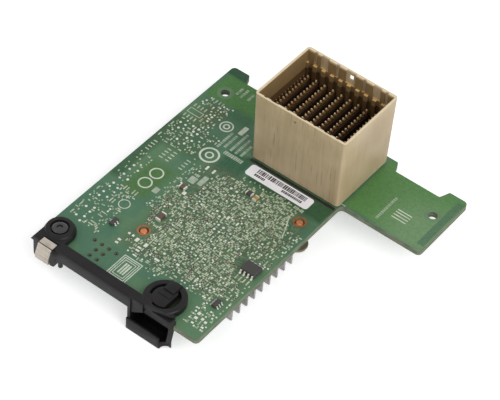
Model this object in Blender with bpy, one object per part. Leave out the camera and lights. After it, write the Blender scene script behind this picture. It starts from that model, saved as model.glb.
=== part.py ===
"""Mezzanine network card: an L-shaped board with a tall plug-in connector, a heat sink and a bracket.

The card is modelled flat, connector upwards, standing on its heat sink fins and on its bracket's hook.
Everything is in metres. Card coordinates start at the board's near left corner: X runs across the
board, Y runs from the bracket to the far end, and Z is zero on the board's upper face. One empty
carries the whole card, so that the world origin lies under the middle of it, on the surface.
"""
import math

import bmesh
import bpy
from mathutils import Vector

# Board
BOARD_WIDTH = 0.0838
BOARD_LENGTH = 0.0880
BOARD_THICKNESS = 0.00195
MAIN_WIDTH = 0.0570
TAB_DEPTH = 0.0239
EAR_DEPTH = 0.00335
LEFT_EAR_WIDTH = 0.0059
RIGHT_EAR_WIDTH = 0.0063
EAR_SLOPE = 0.0013
BOARD_CORNER_RADIUS = 0.0013
NOTCH_RADIUS = 0.0006
INNER_CORNER_RADIUS = 0.0015

# Holes through the board
MOUNT_HOLE_DIAMETER = 0.0027
MOUNT_HOLE_INSET_X = 0.0050
MOUNT_HOLE_INSET_Y = 0.0104
TEST_HOLE_DIAMETER = 0.0009
TEST_HOLE_PITCH = 0.00254
TEST_HOLE_X = 0.01370
TEST_HOLE_Y = 0.00936
TEST_HOLE_ROWS = ((0, 1, 2, 3), (1, 2), (1, 2))

# Fits
SEAT_GAP = 0.0003
ARC_STEP = math.radians(18.0)

# Plug-in connector
ROW_COUNT = 10
ROW_PITCH = 0.00295
CONTACT_COUNT = 15
CONTACT_PITCH = 0.00142
CONNECTOR_HEIGHT = 0.0260
CONNECTOR_STANDOFF = 0.0008
CONNECTOR_OVERHANG = 0.0005
CONNECTOR_FAR_INSET = 0.00155
SIDE_WALL = 0.00075
END_WALL = 0.0011
SHROUD_DRAFT = 0.00035
SHROUD_CORNER_RADIUS = 0.0010
SHROUD_FOOT = 0.0009
SHROUD_FOOT_INSET = 0.00055
RIM_CHAMFER = 0.00045
SIDE_RIM_CHAMFER = 0.0002
TOOTH_DEPTH = 0.0008
TOOTH_TOP = 0.0215
CROSSBAR_HEIGHT = 0.0015
GROOVE_DEPTH = 0.0005
CENTRE_GROOVE_WIDTH = 0.0032
WIDE_GROOVE_WIDTH = 0.0026
WIDE_GROOVE_OFFSET = 0.0090
SLIM_GROOVE_WIDTH = 0.0010
SLIM_GROOVE_OFFSETS = (0.0046, 0.0122)
WINDOW_WIDTH = 0.0014
WINDOW_HEIGHT = 0.0018
WINDOW_DROP = 0.0022
PEEP_SIZE = 0.0008
PEEP_DROP = 0.0025
PEEP_OFFSET = 0.0015
WAFER_THICKNESS = 0.0011
WAFER_TOP = 0.0155
WAFER_CHAMFER = 0.0003
CONTACT_TOP = 0.0176
CONTACT_BAR = 0.0006
CONTACT_WIDTH = 0.0006
CONTACT_TIP_WIDTH = 0.00028
CONTACT_THICKNESS = 0.00045

# Heat sink and what fastens it
PIN_RIGHT_MARGIN = 0.00495
PIN_Y = 0.0208
PIN_SPACING = 0.03055
PIN_SHANK_DIAMETER = 0.0023
PIN_HEAD_DIAMETER = 0.0062
PIN_HEAD_HEIGHT = 0.0010
PIN_RECESS = 0.00025
PIN_SLOT_WIDTH = 0.0008
PIN_SLOT_DEPTH = 0.0005
PIN_FLOOR_GAP = 0.0006
SPRING_WIRE = 0.0005
SPRING_TURNS = 2
SINK_NEAR_MARGIN = 0.0028
SINK_RIGHT_MARGIN = 0.00275
SINK_BASE = 0.0014
FIN_COUNT = 12
FIN_PITCH = 0.00336
FIN_THICKNESS = 0.0007
FIN_TIP_THICKNESS = 0.0005
FIN_FREE_RADIUS = 0.0043
FLOOR_DEPTH = 0.0102

# Controller under the heat sink
CHIP_SIZE = 0.0270
CHIP_SUBSTRATE = 0.0010
CHIP_LID_SIZE = 0.0215
CHIP_LID = 0.0008
PAD_THICKNESS = 0.0004

# Bracket along the near edge
BRACKET_TOP = 0.0020
BRACKET_FRONT = 0.0017
BRACKET_LAP = 0.00155
BRACKET_LEFT = 0.0003
BOSS_X = 0.0050
BOSS_Y = 0.0049
BOSS_DIAMETER = 0.0092
BOSS_RING_DIAMETER = 0.0078
BOSS_STEP = 0.0013
BOSS_TOP = 0.0026
COUNTERBORE_DIAMETER = 0.0055
COUNTERBORE_DEPTH = 0.0009
SKIRT_DEPTH = 0.0058
SKIRT_WIDTH = 0.0085
SKIRT_RADIUS = 0.0012
PEG_GAP = 0.0007
PEG_DIAMETER = 0.0014
PEG_DEPTH = 0.0050
RING_X = 0.0422
RING_Y = 0.0048
RING_DIAMETER = 0.0124
RING_BORE = 0.0104
RING_TOP = 0.0030
CORE_DIAMETER = 0.0088
CORE_FLAT_OFFSET = 0.0021
CORE_TOP = 0.0027
HOOK_LEFT_REACH = 0.0076
HOOK_RIGHT_REACH = 0.0064
HOOK_FRONT = 0.0022
HOOK_BACK = 0.0036
HOOK_WALL = 0.0011
HOOK_LIP = 0.0031
HOOK_GUSSET_WIDTH = 0.0040
HOOK_GUSSET_DROP = 0.0046
HOOK_ARCH_RADIUS = 0.0013

# Bracket screw and spring clip
SCREW_HEAD_DIAMETER = 0.0044
SCREW_HEAD_HEIGHT = 0.0007
SCREW_CROWN_DIAMETER = 0.0032
SCREW_RIM_HEIGHT = 0.00045
SCREW_SHANK_DIAMETER = 0.0020
SCREW_SOCKET_DIAMETER = 0.0018
SCREW_SOCKET_DEPTH = 0.0004
CLIP_WIDTH = 0.0046
CLIP_OFFSET = 0.0012
CLIP_THICKNESS = 0.00035
CLIP_REACH = 0.0042
CLIP_DROP = 0.0024
CLIP_TOP_LENGTH = 0.0018
CLIP_BEND_START = math.radians(110.0)
CLIP_BEND_END = math.radians(160.0)
CLIP_POCKET = 0.0005

# Chips on the upper face
SOIC_RIGHT_MARGIN = 0.0040
SOIC_Y = 0.02835
SOIC_LENGTH = 0.0049
SOIC_WIDTH = 0.0039
SOIC_HEIGHT = 0.00145
SOIC_PITCH = 0.00127
SOIC_LEADS_A_SIDE = 4
LEAD_WIDTH = 0.00042
LEAD_THICKNESS = 0.0002
LEAD_REACH = 0.00105
LEAD_FOOT = 0.0006

# Parts soldered to the under face
INDUCTOR_SIZE = 0.0066
INDUCTOR_HEIGHT = 0.0030
CAPACITOR_LENGTH = 0.0073
CAPACITOR_WIDTH = 0.0043
CAPACITOR_HEIGHT = 0.0028
UNDER_CHAMFER = 0.0005
UNDER_COLUMN_MARGIN = 0.0050
UNDER_COLUMN_NEAR = 0.0272
UNDER_COLUMN_GAP = 0.0030
UNDER_TAB_MARGIN = 0.0050
FLASH_X = 0.0130
FLASH_FAR_MARGIN = 0.0115
CRYSTAL_SINK_MARGIN = 0.0015
CRYSTAL_LENGTH = 0.0110
CRYSTAL_WIDTH = 0.0045
CRYSTAL_HEIGHT = 0.0032

# Worked out from the sizes above
UNDER_FACE = -BOARD_THICKNESS
FLOOR = -FLOOR_DEPTH
TAB_FRONT = BOARD_LENGTH - TAB_DEPTH
SHROUD_WIDTH = ROW_COUNT * ROW_PITCH + 2 * SIDE_WALL
CONTACT_SPAN = (CONTACT_COUNT - 1) * CONTACT_PITCH + CONTACT_WIDTH
SHROUD_DEPTH = CONTACT_SPAN + 2 * (SEAT_GAP + TOOTH_DEPTH + END_WALL)
SHROUD_RIGHT = MAIN_WIDTH + CONNECTOR_OVERHANG
SHROUD_LEFT = SHROUD_RIGHT - SHROUD_WIDTH
SHROUD_BACK = BOARD_LENGTH - CONNECTOR_FAR_INSET
SHROUD_FRONT = SHROUD_BACK - SHROUD_DEPTH
SHROUD_MID_X = (SHROUD_LEFT + SHROUD_RIGHT) / 2
SHROUD_MID_Y = (SHROUD_FRONT + SHROUD_BACK) / 2
CHANNEL_WIDTH = WAFER_THICKNESS + 2 * SEAT_GAP
CAVITY_DEPTH = SHROUD_DEPTH - 2 * END_WALL
CHIP_TOP = UNDER_FACE - SEAT_GAP
CHIP_BOTTOM = CHIP_TOP - CHIP_SUBSTRATE - CHIP_LID
PAD_TOP = CHIP_BOTTOM - SEAT_GAP
SINK_TOP = PAD_TOP - PAD_THICKNESS - SEAT_GAP
SINK_UNDER = SINK_TOP - SINK_BASE
PIN_X = MAIN_WIDTH - PIN_RIGHT_MARGIN - PIN_SPACING
SINK_LENGTH = (FIN_COUNT - 1) * FIN_PITCH + FIN_THICKNESS
SINK_NEAR = PIN_Y - SINK_NEAR_MARGIN
SINK_RIGHT = PIN_X + PIN_SPACING + SINK_RIGHT_MARGIN
SINK_LEFT = SINK_RIGHT - SINK_LENGTH
SINK_MID_X = SINK_RIGHT - SINK_LENGTH / 2
UNDER_COLUMN_X = SINK_LEFT - UNDER_COLUMN_MARGIN - CAPACITOR_LENGTH / 2
SINK_MID_Y = SINK_NEAR + SINK_LENGTH / 2
SOIC_X = MAIN_WIDTH - SOIC_RIGHT_MARGIN
CRYSTAL_X = SINK_MID_X - CRYSTAL_LENGTH
CRYSTAL_Y = SINK_NEAR + SINK_LENGTH + CRYSTAL_SINK_MARGIN + CRYSTAL_WIDTH / 2
FLASH_Y = BOARD_LENGTH - FLASH_FAR_MARGIN
SKIRT_RIGHT = BRACKET_LEFT + SKIRT_WIDTH
PEG_X = SKIRT_RIGHT + PEG_GAP + PEG_DIAMETER / 2
HOOK_LEFT = RING_X - HOOK_LEFT_REACH
HOOK_RIGHT = RING_X + HOOK_RIGHT_REACH
CLIP_LEFT = BOSS_X + CLIP_OFFSET - CLIP_WIDTH / 2
PIN_PLACES = ((PIN_X, PIN_Y), (PIN_X + PIN_SPACING, PIN_Y + PIN_SPACING))
PIN_HOLE_DIAMETER = PIN_SHANK_DIAMETER + 2 * SEAT_GAP
PIN_HEAD_BOTTOM = FLOOR + PIN_FLOOR_GAP
PIN_HEAD_TOP = PIN_HEAD_BOTTOM + PIN_HEAD_HEIGHT
MOUNT_HOLES = (
    (MOUNT_HOLE_INSET_X, BOARD_LENGTH - MOUNT_HOLE_INSET_Y),
    (BOARD_WIDTH - MOUNT_HOLE_INSET_X, BOARD_LENGTH - MOUNT_HOLE_INSET_Y),
)
TEST_HOLES = tuple(
    (TEST_HOLE_X + column * TEST_HOLE_PITCH, TEST_HOLE_Y - row * TEST_HOLE_PITCH)
    for row, columns in enumerate(TEST_HOLE_ROWS)
    for column in columns
)


def clear_scene():
    """Remove every object that the open file holds."""
    for item in list(bpy.data.objects):
        bpy.data.objects.remove(item, do_unlink=True)


def make_material(name, colour, roughness, metallic=0.0):
    """Return a plain Principled material."""
    material = bpy.data.materials.new(name)
    material.use_nodes = True
    shader = material.node_tree.nodes["Principled BSDF"]
    shader.inputs["Base Color"].default_value = (*colour, 1.0)
    shader.inputs["Roughness"].default_value = roughness
    shader.inputs["Metallic"].default_value = metallic
    return material


def add_object(name, bm, frame, material=None, place=(0.0, 0.0, 0.0)):
    """Turn a bmesh into an object carried by the card's frame."""
    bmesh.ops.recalc_face_normals(bm, faces=bm.faces)
    mesh = bpy.data.meshes.new(name)
    bm.to_mesh(mesh)
    bm.free()
    item = bpy.data.objects.new(name, mesh)
    item.location = place
    item.parent = frame
    bpy.context.scene.collection.objects.link(item)
    if material is not None:
        mesh.materials.append(material)
    return item


def as_cutter(item):
    """Mark an object as a tool for a Boolean, not a piece of the card."""
    item.hide_render = True
    item.display_type = "WIRE"
    return item


def combine(item, tool, operation="DIFFERENCE"):
    """Cut or join one object with another through an exact Boolean."""
    modifier = item.modifiers.new(tool.name, "BOOLEAN")
    modifier.operation = operation
    modifier.solver = "EXACT"
    modifier.object = as_cutter(tool)


def smooth_round(item):
    """Shade the round faces smooth and keep the edges crisp."""
    item.data.shade_smooth()
    item.data.set_sharp_from_angle(angle=math.radians(32.0))


def arc(centre, radius, start, end):
    """Points along an arc from angle start to angle end, both included."""
    steps = max(1, math.ceil(abs(end - start) / ARC_STEP - 1e-6))
    points = []
    for index in range(steps + 1):
        angle = start + (end - start) * index / steps
        points.append((centre[0] + radius * math.cos(angle), centre[1] + radius * math.sin(angle)))
    return points


def rounded(corners):
    """Outline through (x, y, radius) corners, each rounded by its own radius."""
    points = []
    for index, (x, y, radius) in enumerate(corners):
        here = Vector((x, y))
        before = (Vector(corners[index - 1][:2]) - here).normalized()
        after = (Vector(corners[(index + 1) % len(corners)][:2]) - here).normalized()
        if radius <= 0.0:
            points.append((x, y))
            continue
        half = before.angle(after) / 2
        reach = radius / math.tan(half)
        middle = here + (before + after).normalized() * (radius / math.sin(half))
        first = here + before * reach - middle
        last = here + after * reach - middle
        start = math.atan2(first.y, first.x)
        turn = math.atan2(first.cross(last), first.dot(last))
        points.extend(arc(middle, radius, start, start + turn))
    return points


def rectangle(x0, y0, x1, y1, radius=0.0):
    """Outline of a rectangle, with rounded corners where a radius is given."""
    return rounded(((x0, y0, radius), (x1, y0, radius), (x1, y1, radius), (x0, y1, radius)))


def circle(x, y, diameter, sides=24):
    """Outline of a circle."""
    return [
        (x + diameter / 2 * math.cos(math.tau * index / sides), y + diameter / 2 * math.sin(math.tau * index / sides))
        for index in range(sides)
    ]


def loft(layers):
    """Closed bmesh through outlines of equal length, each at its own height."""
    bm = bmesh.new()
    rings = [[bm.verts.new((x, y, z)) for x, y in outline] for outline, z in layers]
    for lower, upper in zip(rings, rings[1:]):
        for index in range(len(lower)):
            after = (index + 1) % len(lower)
            bm.faces.new((lower[index], lower[after], upper[after], upper[index]))
    bm.faces.new(list(reversed(rings[0])))
    bm.faces.new(rings[-1])
    return bm


def prism(outline, bottom, top):
    """Closed bmesh of an outline drawn straight up from bottom to top."""
    return loft(((outline, bottom), (outline, top)))


def box(x0, y0, z0, x1, y1, z1):
    """Closed bmesh of a plain block."""
    return prism(rectangle(x0, y0, x1, y1), z0, z1)


def side_prism(outline, x0, x1):
    """Closed bmesh of a (y, z) outline drawn along X."""
    bm = prism(outline, x0, x1)
    for vert in bm.verts:
        y, z, x = vert.co
        vert.co = (x, y, z)
    return bm


def turned(profile, sides=24):
    """Closed bmesh of a profile of (radius, height) points turned about Z, from axis to axis."""
    bm = bmesh.new()
    rings = []
    for radius, height in profile:
        if radius == 0.0:
            rings.append([bm.verts.new((0.0, 0.0, height))])
            continue
        rings.append([bm.verts.new((x, y, height)) for x, y in circle(0.0, 0.0, 2 * radius, sides)])
    for first, second in zip(rings, rings[1:]):
        for index in range(sides):
            after = (index + 1) % sides
            face = []
            for vert in (first[index % len(first)], first[after % len(first)],
                         second[after % len(second)], second[index % len(second)]):
                if vert not in face:
                    face.append(vert)
            bm.faces.new(face)
    return bm


def board_outline():
    """The L-shaped board with its three far ears."""
    recess = BOARD_LENGTH - EAR_DEPTH
    ear_left = SHROUD_LEFT - EAR_SLOPE - CONNECTOR_STANDOFF
    ear_right = SHROUD_RIGHT + EAR_SLOPE + CONNECTOR_STANDOFF
    right_ear = BOARD_WIDTH - RIGHT_EAR_WIDTH
    corner = BOARD_CORNER_RADIUS
    notch = NOTCH_RADIUS
    return rounded((
        (0.0, 0.0, corner),
        (MAIN_WIDTH, 0.0, corner),
        (MAIN_WIDTH, TAB_FRONT, INNER_CORNER_RADIUS),
        (BOARD_WIDTH, TAB_FRONT, corner),
        (BOARD_WIDTH, BOARD_LENGTH, corner),
        (right_ear, BOARD_LENGTH, notch),
        (right_ear - EAR_SLOPE, recess, notch),
        (ear_right + EAR_SLOPE, recess, notch),
        (ear_right, BOARD_LENGTH, notch),
        (ear_left, BOARD_LENGTH, notch),
        (ear_left - EAR_SLOPE, recess, notch),
        (LEFT_EAR_WIDTH + EAR_SLOPE, recess, notch),
        (LEFT_EAR_WIDTH, BOARD_LENGTH, notch),
        (0.0, BOARD_LENGTH, corner),
    ))


def build_board(frame, material):
    """The circuit board with its fixing, pin and test holes."""
    board = add_object("circuit_board", prism(board_outline(), UNDER_FACE, 0.0), frame, material)
    holes = [(x, y, MOUNT_HOLE_DIAMETER, 20) for x, y in MOUNT_HOLES]
    holes += [(x, y, PIN_HOLE_DIAMETER, 20) for x, y in PIN_PLACES]
    holes += [(x, y, TEST_HOLE_DIAMETER, 10) for x, y in TEST_HOLES]
    holes.append((BOSS_X, BOSS_Y, SCREW_SHANK_DIAMETER + 2 * SEAT_GAP, 20))
    for index, (x, y, diameter, sides) in enumerate(holes):
        drill = prism(circle(0.0, 0.0, diameter, sides), UNDER_FACE - SEAT_GAP, SEAT_GAP)
        combine(board, add_object(f"board_drill_{index}", drill, frame, place=(x, y, 0.0)))
    return board


def row_centres():
    """X of the middle of each connector row, counted from the shroud's middle."""
    return [(index - (ROW_COUNT - 1) / 2) * ROW_PITCH for index in range(ROW_COUNT)]


def cavity_outline():
    """Inside of the shroud below the teeth's tops: a comb at each end that holds the wafers."""
    near = -CAVITY_DEPTH / 2
    half = ROW_COUNT * ROW_PITCH / 2
    side = []
    for centre in row_centres():
        left = centre - CHANNEL_WIDTH / 2
        right = centre + CHANNEL_WIDTH / 2
        side += [(left, TOOTH_DEPTH), (left, 0.0), (right, 0.0), (right, TOOTH_DEPTH)]
    side = [(-half, TOOTH_DEPTH)] + side + [(half, TOOTH_DEPTH)]
    outline = [(x, near + depth) for x, depth in side]
    outline += [(-x, -near - depth) for x, depth in side]
    return outline


def groove_list():
    """Centre and width of each keying groove in the shroud's end walls."""
    grooves = [(0.0, CENTRE_GROOVE_WIDTH)]
    for sign in (-1, 1):
        grooves.append((sign * WIDE_GROOVE_OFFSET, WIDE_GROOVE_WIDTH))
        grooves += [(sign * offset, SLIM_GROOVE_WIDTH) for offset in SLIM_GROOVE_OFFSETS]
    return sorted(grooves)


def mouth_outline(chamfer):
    """Inside of the shroud above the teeth, grooved at both ends and widened by a chamfer."""
    near = -CAVITY_DEPTH / 2 - chamfer
    half = ROW_COUNT * ROW_PITCH / 2 + min(chamfer, SIDE_RIM_CHAMFER)
    side = [(-half, 0.0)]
    for centre, width in groove_list():
        left = centre - width / 2
        right = centre + width / 2
        depth = -max(GROOVE_DEPTH - chamfer, 0.0)
        side += [(left, 0.0), (left, depth), (right, depth), (right, 0.0)]
    side.append((half, 0.0))
    outline = [(x, near + depth) for x, depth in side]
    outline += [(-x, -near - depth) for x, depth in side]
    return outline


def build_shroud(frame, material):
    """The open-topped moulding round the connector's rows, with comb teeth, keying grooves and feet."""
    half_x = SHROUD_WIDTH / 2
    half_y = SHROUD_DEPTH / 2
    base = CONNECTOR_STANDOFF
    top = CONNECTOR_HEIGHT
    wide = rectangle(-half_x, -half_y, half_x, half_y, SHROUD_CORNER_RADIUS)
    slim = rectangle(-half_x + SHROUD_DRAFT, -half_y + SHROUD_DRAFT, half_x - SHROUD_DRAFT,
                     half_y - SHROUD_DRAFT, SHROUD_CORNER_RADIUS)
    place = (SHROUD_MID_X, SHROUD_MID_Y, 0.0)
    shroud = add_object("connector_shroud", loft(((slim, base), (wide, top))), frame, material, place)

    bar_top = base + CROSSBAR_HEIGHT
    comb = prism(cavity_outline(), bar_top, TOOTH_TOP + SEAT_GAP)
    combine(shroud, add_object("shroud_comb_cut", comb, frame, place=place))
    chamfer_start = top - RIM_CHAMFER
    grown = RIM_CHAMFER + SEAT_GAP
    mouth = loft((
        (mouth_outline(0.0), TOOTH_TOP),
        (mouth_outline(0.0), chamfer_start),
        (mouth_outline(grown), chamfer_start + grown),
    ))
    combine(shroud, add_object("shroud_mouth_cut", mouth, frame, place=place))
    slot_half = CAVITY_DEPTH / 2
    for index, centre in enumerate(row_centres()):
        slot = box(centre - CHANNEL_WIDTH / 2, -slot_half, base - SEAT_GAP,
                   centre + CHANNEL_WIDTH / 2, slot_half, bar_top + SEAT_GAP)
        combine(shroud, add_object(f"shroud_slot_{index}", slot, frame, place=place))
    window = box(-WINDOW_WIDTH / 2, slot_half - SEAT_GAP, top - WINDOW_DROP - WINDOW_HEIGHT / 2,
                 WINDOW_WIDTH / 2, half_y + SEAT_GAP, top - WINDOW_DROP + WINDOW_HEIGHT / 2)
    combine(shroud, add_object("shroud_window_cut", window, frame, place=place))
    peep = box(-PEEP_OFFSET - PEEP_SIZE / 2, -half_y - SEAT_GAP, top - PEEP_DROP - PEEP_SIZE / 2,
               -PEEP_OFFSET + PEEP_SIZE / 2, SEAT_GAP - slot_half, top - PEEP_DROP + PEEP_SIZE / 2)
    combine(shroud, add_object("shroud_peep_cut", peep, frame, place=place))
    for index, (sx, sy) in enumerate(((-1, -1), (1, -1), (1, 1), (-1, 1))):
        x = sx * (half_x - SHROUD_DRAFT - SHROUD_FOOT_INSET)
        y = sy * (half_y - SHROUD_DRAFT - SHROUD_CORNER_RADIUS - SHROUD_FOOT / 2)
        foot = prism(circle(x, y, SHROUD_FOOT, 12), SEAT_GAP, base + CROSSBAR_HEIGHT / 2)
        combine(shroud, add_object(f"shroud_foot_{index}", foot, frame, place=place), "UNION")
    return shroud


def build_wafers(frame, material):
    """One upright insulating wafer a row, its ends held in the shroud's comb."""
    half_y = CAVITY_DEPTH / 2 - SEAT_GAP
    half_x = WAFER_THICKNESS / 2
    chamfer = WAFER_CHAMFER
    outline = (
        (-half_y, SEAT_GAP), (half_y, SEAT_GAP),
        (half_y, WAFER_TOP - 4 * chamfer), (half_y - 2 * chamfer, WAFER_TOP),
        (2 * chamfer - half_y, WAFER_TOP), (-half_y, WAFER_TOP - 4 * chamfer),
    )
    for index, centre in enumerate(row_centres()):
        place = (SHROUD_MID_X + centre, SHROUD_MID_Y, 0.0)
        add_object(f"wafer_{index + 1:02d}", side_prism(outline, -half_x, half_x), frame, material, place)


def contact_outline():
    """A stamped row of tapered contact blades on one bar, seen along X."""
    bar_low = WAFER_TOP + SEAT_GAP
    bar_high = bar_low + CONTACT_BAR
    end = CAVITY_DEPTH / 2 - SEAT_GAP
    points = [(-end, bar_low), (end, bar_low), (end, bar_high)]
    for index in reversed(range(CONTACT_COUNT)):
        y = (index - (CONTACT_COUNT - 1) / 2) * CONTACT_PITCH
        points += [
            (y + CONTACT_WIDTH / 2, bar_high), (y + CONTACT_TIP_WIDTH / 2, CONTACT_TOP),
            (y - CONTACT_TIP_WIDTH / 2, CONTACT_TOP), (y - CONTACT_WIDTH / 2, bar_high),
        ]
    points.append((-end, bar_high))
    return points


def build_contacts(frame, material):
    """One row of contact blades above each wafer."""
    half = CONTACT_THICKNESS / 2
    for index, centre in enumerate(row_centres()):
        place = (SHROUD_MID_X + centre, SHROUD_MID_Y, 0.0)
        comb = side_prism(contact_outline(), -half, half)
        add_object(f"contact_row_{index + 1:02d}", comb, frame, material, place)


def build_controller(frame, package, pad):
    """The controller's package under the board and the pad that joins it to the heat sink."""
    half = CHIP_SIZE / 2
    lid = CHIP_LID_SIZE / 2
    place = (SINK_MID_X, SINK_MID_Y, 0.0)
    chip = add_object("controller_chip", box(-half, -half, CHIP_TOP - CHIP_SUBSTRATE, half, half, CHIP_TOP),
                      frame, package, place)
    cap = box(-lid, -lid, CHIP_BOTTOM, lid, lid, CHIP_TOP - CHIP_SUBSTRATE / 2)
    combine(chip, add_object("controller_lid", cap, frame, place=place), "UNION")
    sheet = box(-lid, -lid, PAD_TOP - PAD_THICKNESS, lid, lid, PAD_TOP)
    add_object("thermal_pad", sheet, frame, pad, place)


def sink_profile():
    """Base and fins of the heat sink, seen along X."""
    points = [(SINK_NEAR + SINK_LENGTH, SINK_TOP), (SINK_NEAR, SINK_TOP)]
    taper = (FIN_THICKNESS - FIN_TIP_THICKNESS) / 2
    for index in range(FIN_COUNT):
        near = SINK_NEAR + index * FIN_PITCH
        far = near + FIN_THICKNESS
        if index > 0:
            points.append((near, SINK_UNDER))
        points += [(near + taper, FLOOR), (far - taper, FLOOR)]
        if index < FIN_COUNT - 1:
            points.append((far, SINK_UNDER))
    return points


def build_heat_sink(frame, material):
    """The finned heat sink, with two corners left free of fins for its pins."""
    sink = add_object("heat_sink", side_prism(sink_profile(), SINK_LEFT, SINK_RIGHT), frame, material)
    far = SINK_NEAR + SINK_LENGTH
    reach = FIN_FREE_RADIUS
    (near_x, near_y), (far_x, far_y) = PIN_PLACES
    corners = (
        (SINK_LEFT - SEAT_GAP, SINK_NEAR - SEAT_GAP, near_x + reach, near_y + reach),
        (far_x - reach, far_y - reach, SINK_RIGHT + SEAT_GAP, far + SEAT_GAP),
    )
    for index, (x0, y0, x1, y1) in enumerate(corners):
        free = box(x0, y0, FLOOR - SEAT_GAP, x1, y1, SINK_UNDER)
        combine(sink, add_object(f"sink_free_corner_{index}", free, frame))
    for index, (x, y) in enumerate(PIN_PLACES):
        drill = prism(circle(x, y, PIN_HOLE_DIAMETER, 20), SINK_UNDER - SEAT_GAP, SINK_TOP + SEAT_GAP)
        combine(sink, add_object(f"sink_drill_{index}", drill, frame))


def build_pins(frame, material):
    """The two shouldered pins that hold the heat sink, each with a slotted head."""
    shank = PIN_SHANK_DIAMETER / 2
    head = PIN_HEAD_DIAMETER / 2
    edge = PIN_HEAD_HEIGHT / 4
    profile = (
        (0.0, PIN_HEAD_BOTTOM), (head - edge, PIN_HEAD_BOTTOM), (head, PIN_HEAD_BOTTOM + edge),
        (head, PIN_HEAD_TOP), (shank, PIN_HEAD_TOP), (shank, -PIN_RECESS - edge),
        (shank - edge, -PIN_RECESS), (0.0, -PIN_RECESS),
    )
    for index, (x, y) in enumerate(PIN_PLACES):
        pin = add_object(f"heat_sink_pin_{index + 1}", turned(profile), frame, material, (x, y, 0.0))
        slot = box(-head - SEAT_GAP, -PIN_SLOT_WIDTH / 2, PIN_HEAD_BOTTOM - SEAT_GAP,
                   head + SEAT_GAP, PIN_SLOT_WIDTH / 2, PIN_HEAD_BOTTOM + PIN_SLOT_DEPTH)
        combine(pin, add_object(f"pin_slot_{index}", slot, frame, place=(x, y, 0.0)))
        smooth_round(pin)


def build_springs(frame, material):
    """A short coil spring between each pin's head and the heat sink."""
    wire = SPRING_WIRE / 2
    radius = PIN_SHANK_DIAMETER / 2 + SEAT_GAP + wire
    low = PIN_HEAD_TOP + SEAT_GAP + wire
    high = SINK_UNDER - SEAT_GAP - wire
    steps = 14 * SPRING_TURNS
    for index, (x, y) in enumerate(PIN_PLACES):
        curve = bpy.data.curves.new(f"pin_spring_{index + 1}", "CURVE")
        curve.dimensions = "3D"
        curve.bevel_depth = wire
        curve.bevel_resolution = 1
        curve.use_fill_caps = True
        coil = curve.splines.new("POLY")
        coil.points.add(steps)
        for step in range(steps + 1):
            angle = math.tau * SPRING_TURNS * step / steps
            height = low + (high - low) * step / steps
            coil.points[step].co = (radius * math.cos(angle), radius * math.sin(angle), height, 1.0)
        curve.materials.append(material)
        spring = bpy.data.objects.new(f"pin_spring_{index + 1}", curve)
        spring.location = (x, y, 0.0)
        spring.parent = frame
        bpy.context.scene.collection.objects.link(spring)


def front_plate(outline, front, back):
    """Closed bmesh of an (x, z) outline drawn along Y, from front to back."""
    bm = prism(outline, front, back)
    for vert in bm.verts:
        x, z, y = vert.co
        vert.co = (x, y, z)
    return bm


def bracket_parts():
    """The solids that are moulded together into the bracket, by name."""
    lap_gap = SEAT_GAP
    face = -BRACKET_FRONT
    wall = -SEAT_GAP
    left = BRACKET_LEFT
    skirt = rounded((
        (left, -SKIRT_DEPTH, SKIRT_RADIUS), (SKIRT_RIGHT, -SKIRT_DEPTH, SKIRT_RADIUS),
        (SKIRT_RIGHT, BRACKET_TOP / 2, 0.0), (left, BRACKET_TOP / 2, 0.0),
    ))
    pad_right = BOSS_X + BOSS_DIAMETER / 2
    bar = box(left, face, UNDER_FACE, HOOK_RIGHT, wall, BRACKET_TOP)
    lap = box(left, face, lap_gap, HOOK_RIGHT, BRACKET_LAP, BRACKET_TOP)
    pad = box(left, face, lap_gap, pad_right, BOSS_Y, BRACKET_TOP)
    boss = turned_at(BOSS_X, BOSS_Y, (
        (0.0, lap_gap), (BOSS_DIAMETER / 2, lap_gap), (BOSS_DIAMETER / 2, BOSS_STEP),
        (BOSS_RING_DIAMETER / 2, BOSS_TOP), (0.0, BOSS_TOP),
    ), 32)
    ring = turned_at(RING_X, RING_Y, (
        (0.0, lap_gap), (RING_DIAMETER / 2, lap_gap), (RING_DIAMETER / 2, RING_TOP - lap_gap),
        (RING_DIAMETER / 2 - lap_gap, RING_TOP), (0.0, RING_TOP),
    ), 36)
    peg_radius = PEG_DIAMETER / 2
    peg = turned_at(PEG_X, face / 2, (
        (0.0, -PEG_DEPTH), (peg_radius / 2, -PEG_DEPTH), (peg_radius, peg_radius / 2 - PEG_DEPTH),
        (peg_radius, 0.0), (0.0, 0.0),
    ), 16)
    return {
        "skirt": front_plate(skirt, face, wall),
        "lap": lap, "bar": bar, "pad": pad, "boss": boss, "ring": ring, "peg": peg,
    }


def turned_at(x, y, profile, sides):
    """A turned solid moved to its place."""
    bm = turned(profile, sides)
    bmesh.ops.translate(bm, verts=bm.verts, vec=(x, y, 0.0))
    return bm


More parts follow.
